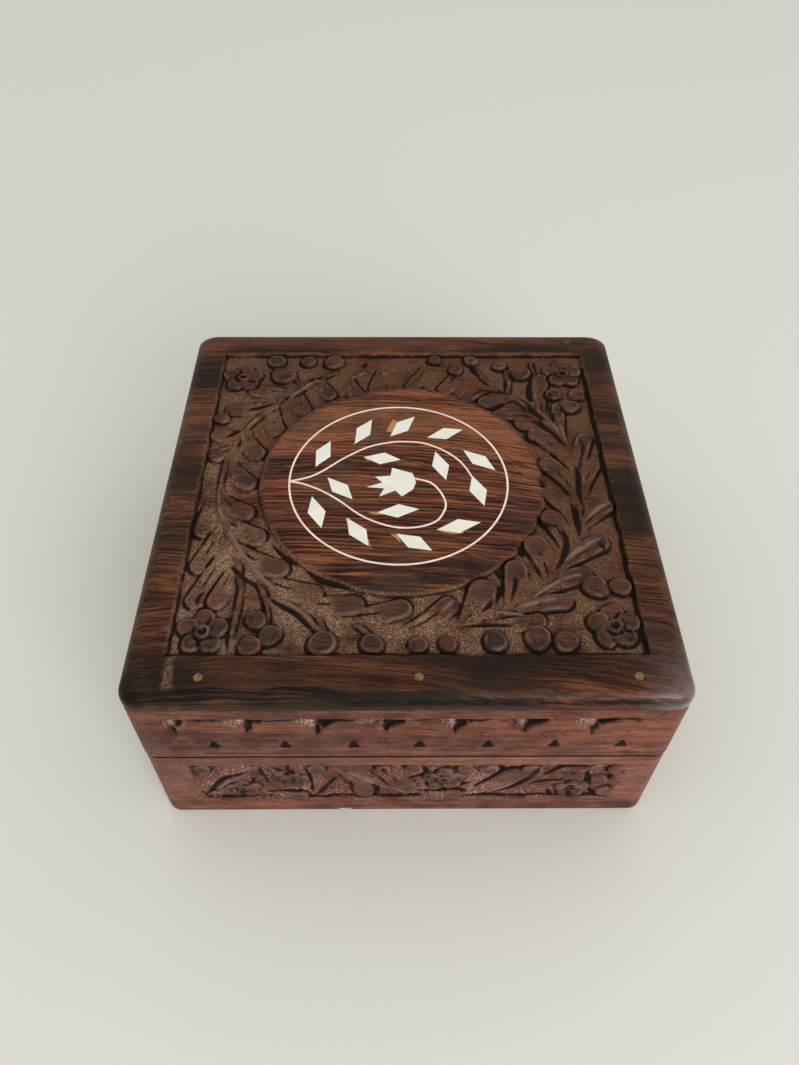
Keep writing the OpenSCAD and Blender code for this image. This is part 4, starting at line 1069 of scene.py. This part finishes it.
def side_piece(name, side, body, z0, z1, band, corner, material, node):
    """A wall or rail: its carved outer face, its rim, its inner face and its foot, as one closed skin."""
    ends = side % 2 == 0
    half = FRAME_HALF[0] if ends else FRAME_HALF[1] - WALL_T
    reach = FRAME_HALF[1] if ends else FRAME_HALF[0]
    marks = band.finish()
    rows = np.concatenate([z0 + FOOT_ROWS, np.linspace(z0 + 1.3, band.ys[0], 6)[:-1],
                           band.ys, np.linspace(band.ys[-1], z1 - 1.5, 6)[1:], z1 - RIM_ROWS])
    outer = outer_edge(band, half, reach, corner if ends else 0)
    start = int(np.argmin(np.abs(outer[:, 0] - band.xs[0]) + np.abs(outer[:, 1] + reach)))
    first = int(np.searchsorted(rows, band.ys[0]))
    carved = (slice(start, start + len(band.xs)), slice(first, first + len(band.ys)))
    height = np.zeros((len(outer), len(rows)))
    height[carved] = band.height
    rise, back = np.array(EASED).T
    height += np.interp(rows, [*(z0 + rise), *(z1 - rise[::-1])], [*-back, *-back[::-1]])
    if node == "base_front_wall":
        missing = (np.abs(outer[:, 0] - CHIP_X)[:, None] < CHIP_W / 2) & (rows < z0 + CHIP_H)[None, :]
        height = np.where(missing, -CHIP_DEEP, height)
    face = np.zeros((len(outer), len(rows), 3))
    face[..., 0] = outer[:, None, 0] + outer[:, None, 2] * height
    face[..., 1] = outer[:, None, 1] + outer[:, None, 3] * height
    face[..., 2] = rows[None, :]
    inset = outer[:, :2] - RIM_INSET * outer[:, 2:]
    inner = np.column_stack([outer[:, 0], np.full(len(outer), -reach + WALL_T)])
    if ends:
        inner[:, 0] = np.clip(inner[:, 0], -half + INNER_SHORT, half - INNER_SHORT)
    behind = [at_height(plan, z) for plan, z in ((inset, z1), (inner, z1), (inner, z0), (inset, z0))]
    vertices = np.concatenate([face, np.stack(behind, axis=1)], axis=1)
    n = vertices.shape[1]
    number = np.arange(len(outer) * n).reshape(len(outer), n)
    faces = grid_faces(np.concatenate([number, number[:, :1]], axis=1))
    faces += [number[0].tolist(), number[-1].tolist()]
    flat = vertices.reshape(-1, 3)
    placed = np.column_stack([*carried_round(flat[:, 0], flat[:, 1], side), flat[:, 2]])
    seam_rows = [0, 1] if body == "lid" else [n - 6, n - 5]
    full_marks = {}
    for mark, values in marks.items():
        spread = np.zeros((len(outer), n))
        spread[carved] = values
        # The seam rows are painted near black, as shade and dirt in the gap between lid and base.
        if mark == "hollow":
            spread[:, seam_rows] = 1.0
        full_marks[mark] = spread.ravel()
    piece = new_piece(name, placed, faces, full_marks, material, body, "rosewood")
    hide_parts(node)
    return piece


rosewood_long = rosewood("rosewood_long", "X", 0.42, RED_PUNCH)
rosewood_side = rosewood("rosewood_side", "Y", 0.42, RED_PUNCH)
pieces = {}
for side, word in enumerate(("front", "right", "back", "left")):
    half = (FRAME_HALF[0] if side % 2 == 0 else FRAME_HALF[1]) - BAND_END
    material = rosewood_long if side % 2 == 0 else rosewood_side
    pieces["rail", word] = side_piece(
        word + "_rail", side, "lid", BASE_H + SEAM + RIM_EASE, BOARD_BOTTOM,
        arch_band(half, 20 + side), CORNERS["lid"], material, f"lid_{word}_rail")
    pieces["wall", word] = side_piece(
        word + "_wall", side, "base", RIM_EASE, BASE_H - RIM_EASE,
        scroll_band(half, 40 + side), CORNERS["base"], material, f"base_{word}_wall")

# The two back rims are bevelled so that the lid can lean back a little past upright, and each has a
# round groove for the hinge barrels and a shallow mortise for the hinge leaves.
HINGE_X = 45.0
HINGE_L = 25.0
HINGE_AXIS = (75.35, 37.1)
LEAF_W = 7.05
LEAF_T = 1.05
LEAF_PLAY = 0.05
BARREL_ROOM_L = 26.5
BARREL_ROOM_R = 1.85
BEVEL_ANGLE = math.radians(51)
BEVEL_REACH = 3.85
OVERCUT = 2.0


def prism_faces(count):
    """The faces of a prism with count corners, whose vertices are one end and then the other."""
    faces = [tuple(range(count)), tuple(range(2 * count - 1, count - 1, -1))]
    return faces + [(k, count + k, count + (k + 1) % count, (k + 1) % count) for k in range(count)]


def bar(outline, x0, x1):
    """A straight bar along X with the given (y, z) outline, as a plain object to cut with."""
    vertices = [(x, y, z) for x in (x0, x1) for y, z in outline]
    cutter = bpy.data.objects.new("cutter", closed_mesh("cutter", vertices, prism_faces(len(outline))))
    bpy.context.scene.collection.objects.link(cutter)
    return cutter


def cut_for_hinges(piece, rim, up):
    y, z = HINGE_AXIS
    turns = np.radians(np.arange(0, 360, 10))
    barrel = [(y + BARREL_ROOM_R * math.cos(a), z + BARREL_ROOM_R * math.sin(a)) for a in turns]
    far = y + BEVEL_REACH
    bevel = [(y, rim), (far, rim + up * BEVEL_REACH * math.tan(BEVEL_ANGLE)),
             (far, rim - up * OVERCUT), (y, rim - up * OVERCUT)]
    low, high = sorted((rim + up * LEAF_T, rim - up * OVERCUT))
    mortise = [(y - LEAF_W, low), (y, low), (y, high), (y - LEAF_W, high)]
    cutters = [bar(bevel, -2 * BOARD_HALF[0], 2 * BOARD_HALF[0])]
    for x in (-HINGE_X, HINGE_X):
        cutters.append(bar(barrel, x - BARREL_ROOM_L / 2, x + BARREL_ROOM_L / 2))
        cutters.append(bar(mortise, x - HINGE_L / 2 - LEAF_PLAY, x + HINGE_L / 2 + LEAF_PLAY))
    for cutter in cutters:
        change = piece.modifiers.new("cut", "BOOLEAN")
        change.solver = "MANIFOLD"
        change.object = cutter
    ready = piece.evaluated_get(bpy.context.evaluated_depsgraph_get())
    cut_mesh = bpy.data.meshes.new_from_object(ready)
    piece.modifiers.clear()
    piece.data = cut_mesh
    cut_mesh.set_sharp_from_angle(angle=SHARP_ANGLE)
    for cutter in cutters:
        bpy.data.objects.remove(cutter)


cut_for_hinges(pieces["rail", "back"], BASE_H + SEAM, 1)
cut_for_hinges(pieces["wall", "back"], BASE_H, -1)


# The ring, stems, leaves and flower are cut from pale bone and a cream strip, glued into sawn pockets
# and sanded flush. They are the CAD pieces, with only their finish set here.
def pale_inlay(name, light, dark):
    """Polished bone: faint cloudy streaks and hairline marks in an off-white."""
    s = new_material(name)
    colour = s.cloud(s.place(), 3.0, scale=260.0).over(0.3, 0.7).mix(dark, light)
    grain = s.cloud(s.place(), scale=2600.0)
    return s.finish({"Base Color": colour, "Roughness": 0.36 + grain * 0.12,
                     "Normal": grain.bump(0.12, 0.0002)})


def dress(material, *nodes):
    for node in nodes:
        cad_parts[node].data.materials.clear()
        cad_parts[node].data.materials.append(material)


dress(pale_inlay("bone", (0.80, 0.81, 0.74), (0.74, 0.74, 0.66)), "inlay_leaves", "inlay_flower")
dress(pale_inlay("cream_strip", (0.92, 0.79, 0.72), (0.80, 0.64, 0.56)),
      "inlay_ring", "inlay_outer_stem", "inlay_inner_stem")

# A dark line of glue shows round each leaf and the flower. Where a pocket was sawn too long, a slip
# of ochre filler closes it.
GLUE_W = 0.14
GLUE_Z = (70.6, 70.956)
FILLER_Z = (70.6, 70.972)
FILLER_SLIPS = [
    [(-3.75, 28.5), (-1.75, 27), (-4.25, 22), (-6, 22.75)],
    [(-13.2, 10.5), (-11, 11), (-8, 9.3), (2.5, 9.1), (-12, 8.8)],
    [(-16.7, 16), (-15.6, 18.6), (-15.4, 17.4)], [(-28.6, 5.6), (-27.6, 8), (-27.4, 6.6)],
    [(-18.2, -15.8), (-16.9, -15.8), (-17, -20.2)], [(-11.8, -25), (-11, -24), (-10.3, -27.8)],
    [(-4.6, -22.3), (-2.2, -22.6), (-1.4, -25.6), (-2.6, -24.4)],
    [(10, -20.6), (10.8, -21.5), (14, -22.3), (17.4, -22), (16.5, -21)],
    [(-11.6, -13.9), (-9.4, -13.4), (-6, -14.4), (-8.6, -14.6)],
]


def grown_outline(vert, width):
    """Where a corner of an upright prism goes when each of its sides moves out by width."""
    sides = []
    for face in vert.link_faces:
        side = face.normal.to_2d()
        if side.length > 0.9 and all((side - other).length > 0.05 for other in sides):
            sides.append(side)
    first, second = sides[0], sides[-1]
    return (first + second) * (width / (1 + first.dot(second)))


glue = plain_paint("dark_glue", (0.012, 0.007, 0.005), 0.6)
for node in ("inlay_leaves", "inlay_flower"):
    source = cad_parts[node]
    shell = bmesh.new()
    shell.from_mesh(source.data)
    bmesh.ops.transform(shell, matrix=source.matrix_world, verts=shell.verts)
    bmesh.ops.remove_doubles(shell, verts=shell.verts, dist=1e-6)
    shell.normal_update()
    middle = sum(GLUE_Z) / 2 * MM
    vertices = []
    for vert in shell.verts:
        move = grown_outline(vert, GLUE_W * MM)
        vertices.append(((vert.co.x + move.x) / MM, (vert.co.y + move.y) / MM, GLUE_Z[vert.co.z > middle]))
    faces = [tuple(vert.index for vert in face.verts) for face in shell.faces]
    shell.free()
    new_piece(node + "_glue", vertices, faces, {}, glue, "lid", "inlay_bone")

filler = plain_paint("ochre_filler", (0.40, 0.20, 0.055), 0.55)
for number, outline in enumerate(FILLER_SLIPS):
    vertices = [(x, y, z) for z in FILLER_Z for x, y in outline]
    faces = prism_faces(len(outline))
    new_piece(f"filler_slip_{number + 1}", vertices, faces, {}, filler, "lid", "inlay_bone")


# Dowels of a lighter wood pin the board to its rails, and their ends show as ochre dots. The ones at
# the back are stained darker.
def end_grain():
    s = new_material("dowel_end")
    dots = s.cloud(s.place(), scale=2400.0)
    colour = dots.over(0.35, 0.68).mix((0.09, 0.045, 0.016), (0.25, 0.14, 0.052))
    back_ones = s.node("SeparateXYZ", {}, {0: s.place()}, 1).over(0.0, 0.04)
    colour = (back_ones * 0.8).mix(colour, (0.045, 0.022, 0.012))
    return s.finish({"Base Color": colour, "Roughness": 0.55 + dots * 0.1, "Specular IOR Level": 0.3})


dress(end_grain(), "lid_pegs")

# The bottom is a thin plain board of the same wood, let into a rebate in the walls and held there by
# small brads. The brads and the hinge pins are plain steel, a little dulled.
dress(rosewood_side, "base_bottom_board")


def worn_metal(name, light, dark, rough):
    """Plain metal, a little dulled and scratched by handling."""
    s = new_material(name)
    stain = s.cloud(s.place(), 4.0, scale=320.0)
    scratch = s.cloud(s.place(), scale=3000.0)
    return s.finish({"Base Color": stain.over(0.35, 0.65).mix(dark, light), "Metallic": 1.0,
                     "Roughness": rough + stain * 0.2, "Normal": scratch.bump(0.1, 0.0002)})


steel = worn_metal("steel", (0.50, 0.49, 0.47), (0.28, 0.26, 0.24), 0.3)
dress(steel, "bottom_brads", "left_hinge_pin", "right_hinge_pin")

# Two small butt hinges join the back rims. Their leaves are cut from brass sheet, rolled round the
# pins, let into the wood so that they lie flush, and held by brass screws.
brass = worn_metal("aged_brass", (0.72, 0.50, 0.22), (0.36, 0.23, 0.10), 0.26)
dress(brass, "left_hinge_lid_leaf", "right_hinge_lid_leaf", "left_hinge_base_leaf", "right_hinge_base_leaf",
      "lid_hinge_screws", "base_hinge_screws")

# The lining is dark red velvet drawn over card panels and turned under at their edges. The panels
# are glued to the wood inside the lower box and inside the lid.
PANEL_STEP = 2.2
TURNED_EDGE = np.array([0, 0.25, 0.7])
EDGE_STEPS_END = 1.4
PANEL_MIN = 0.1


def velvet():
    """Short pile with paler tips, brushed a little unevenly."""
    s = new_material("red_velvet")
    pile = s.cloud(s.place(), scale=3200.0)
    brushed = s.cloud(s.place(), 3.0, scale=45.0, distortion=0.4)
    colour = brushed.over(0.30, 0.70).mix((0.115, 0.006, 0.012), (0.160, 0.008, 0.017))
    colour = (pile.over(0.4, 0.7) * 0.35).mix(colour, (0.28, 0.02, 0.035))
    return s.finish({"Base Color": colour, "Roughness": 0.9, "Normal": pile.bump(0.5, 0.0004),
                     "Sheen Weight": 0.45, "Sheen Roughness": 0.45, "Sheen Tint": (0.9, 0.35, 0.38, 1),
                     "Specular IOR Level": 0.15})


red_velvet = velvet()


def panel_steps(length):
    """Steps across a panel, closer together where its edges turn under."""
    middle = fine_steps(EDGE_STEPS_END, length - EDGE_STEPS_END, PANEL_STEP)
    return np.concatenate([TURNED_EDGE, middle, length - TURNED_EDGE[::-1]])


def velvet_panel(node, body, axis, sign, seed):
    """A covered card panel: its face is soft and a little uneven, and its edges are turned under."""
    low, high = (np.array(corner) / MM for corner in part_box(node))
    u, v = [a for a in range(3) if a != axis]
    thick = high[axis] - low[axis]
    us, vs = panel_steps(high[u] - low[u]), panel_steps(high[v] - low[v])
    uu, vv = np.meshgrid(us, vs, indexing="ij")
    edge = np.minimum(np.minimum(uu, us[-1] - uu), np.minimum(vv, vs[-1] - vv))
    rise = thick * (0.45 + 0.45 * np.sqrt(np.clip(1 - (1 - np.clip(edge / 1.2, 0, 1)) ** 2, 0, 1)))
    rise += 0.035 * ripples(uu.shape, 5, np.random.default_rng(seed)) * smooth(0, 3, edge)
    rise = np.clip(rise, PANEL_MIN, thick)
    face = np.zeros(uu.shape + (3,))
    face[..., u], face[..., v] = low[u] + uu, low[v] + vv
    face[..., axis] = low[axis] + rise if sign > 0 else high[axis] - rise
    number = np.arange(uu.size).reshape(uu.shape)
    rim = grid_rim(number)
    back = face.reshape(-1, 3)[rim].copy()
    back[:, axis] = low[axis] if sign > 0 else high[axis]
    under = uu.size + np.arange(len(rim))
    faces = grid_faces(number) + band_faces(rim, under) + [under.tolist()]
    vertices = np.vstack([face.reshape(-1, 3), back])
    panel = new_piece(node + "_velvet", vertices, faces, {}, red_velvet, body, "velvet")
    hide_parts(node)


PANEL_SIDES = (("front", 1, 1), ("back", 1, -1), ("left", 0, 1), ("right", 0, -1))
for body, flat_name, flat_sign in (("base", "base_lining_floor", 1), ("lid", "lid_lining_top", -1)):
    velvet_panel(flat_name, body, 2, flat_sign, 60)
    for seed, (word, axis, sign) in enumerate(PANEL_SIDES):
        velvet_panel(f"{body}_lining_{word}", body, axis, sign, 61 + seed)
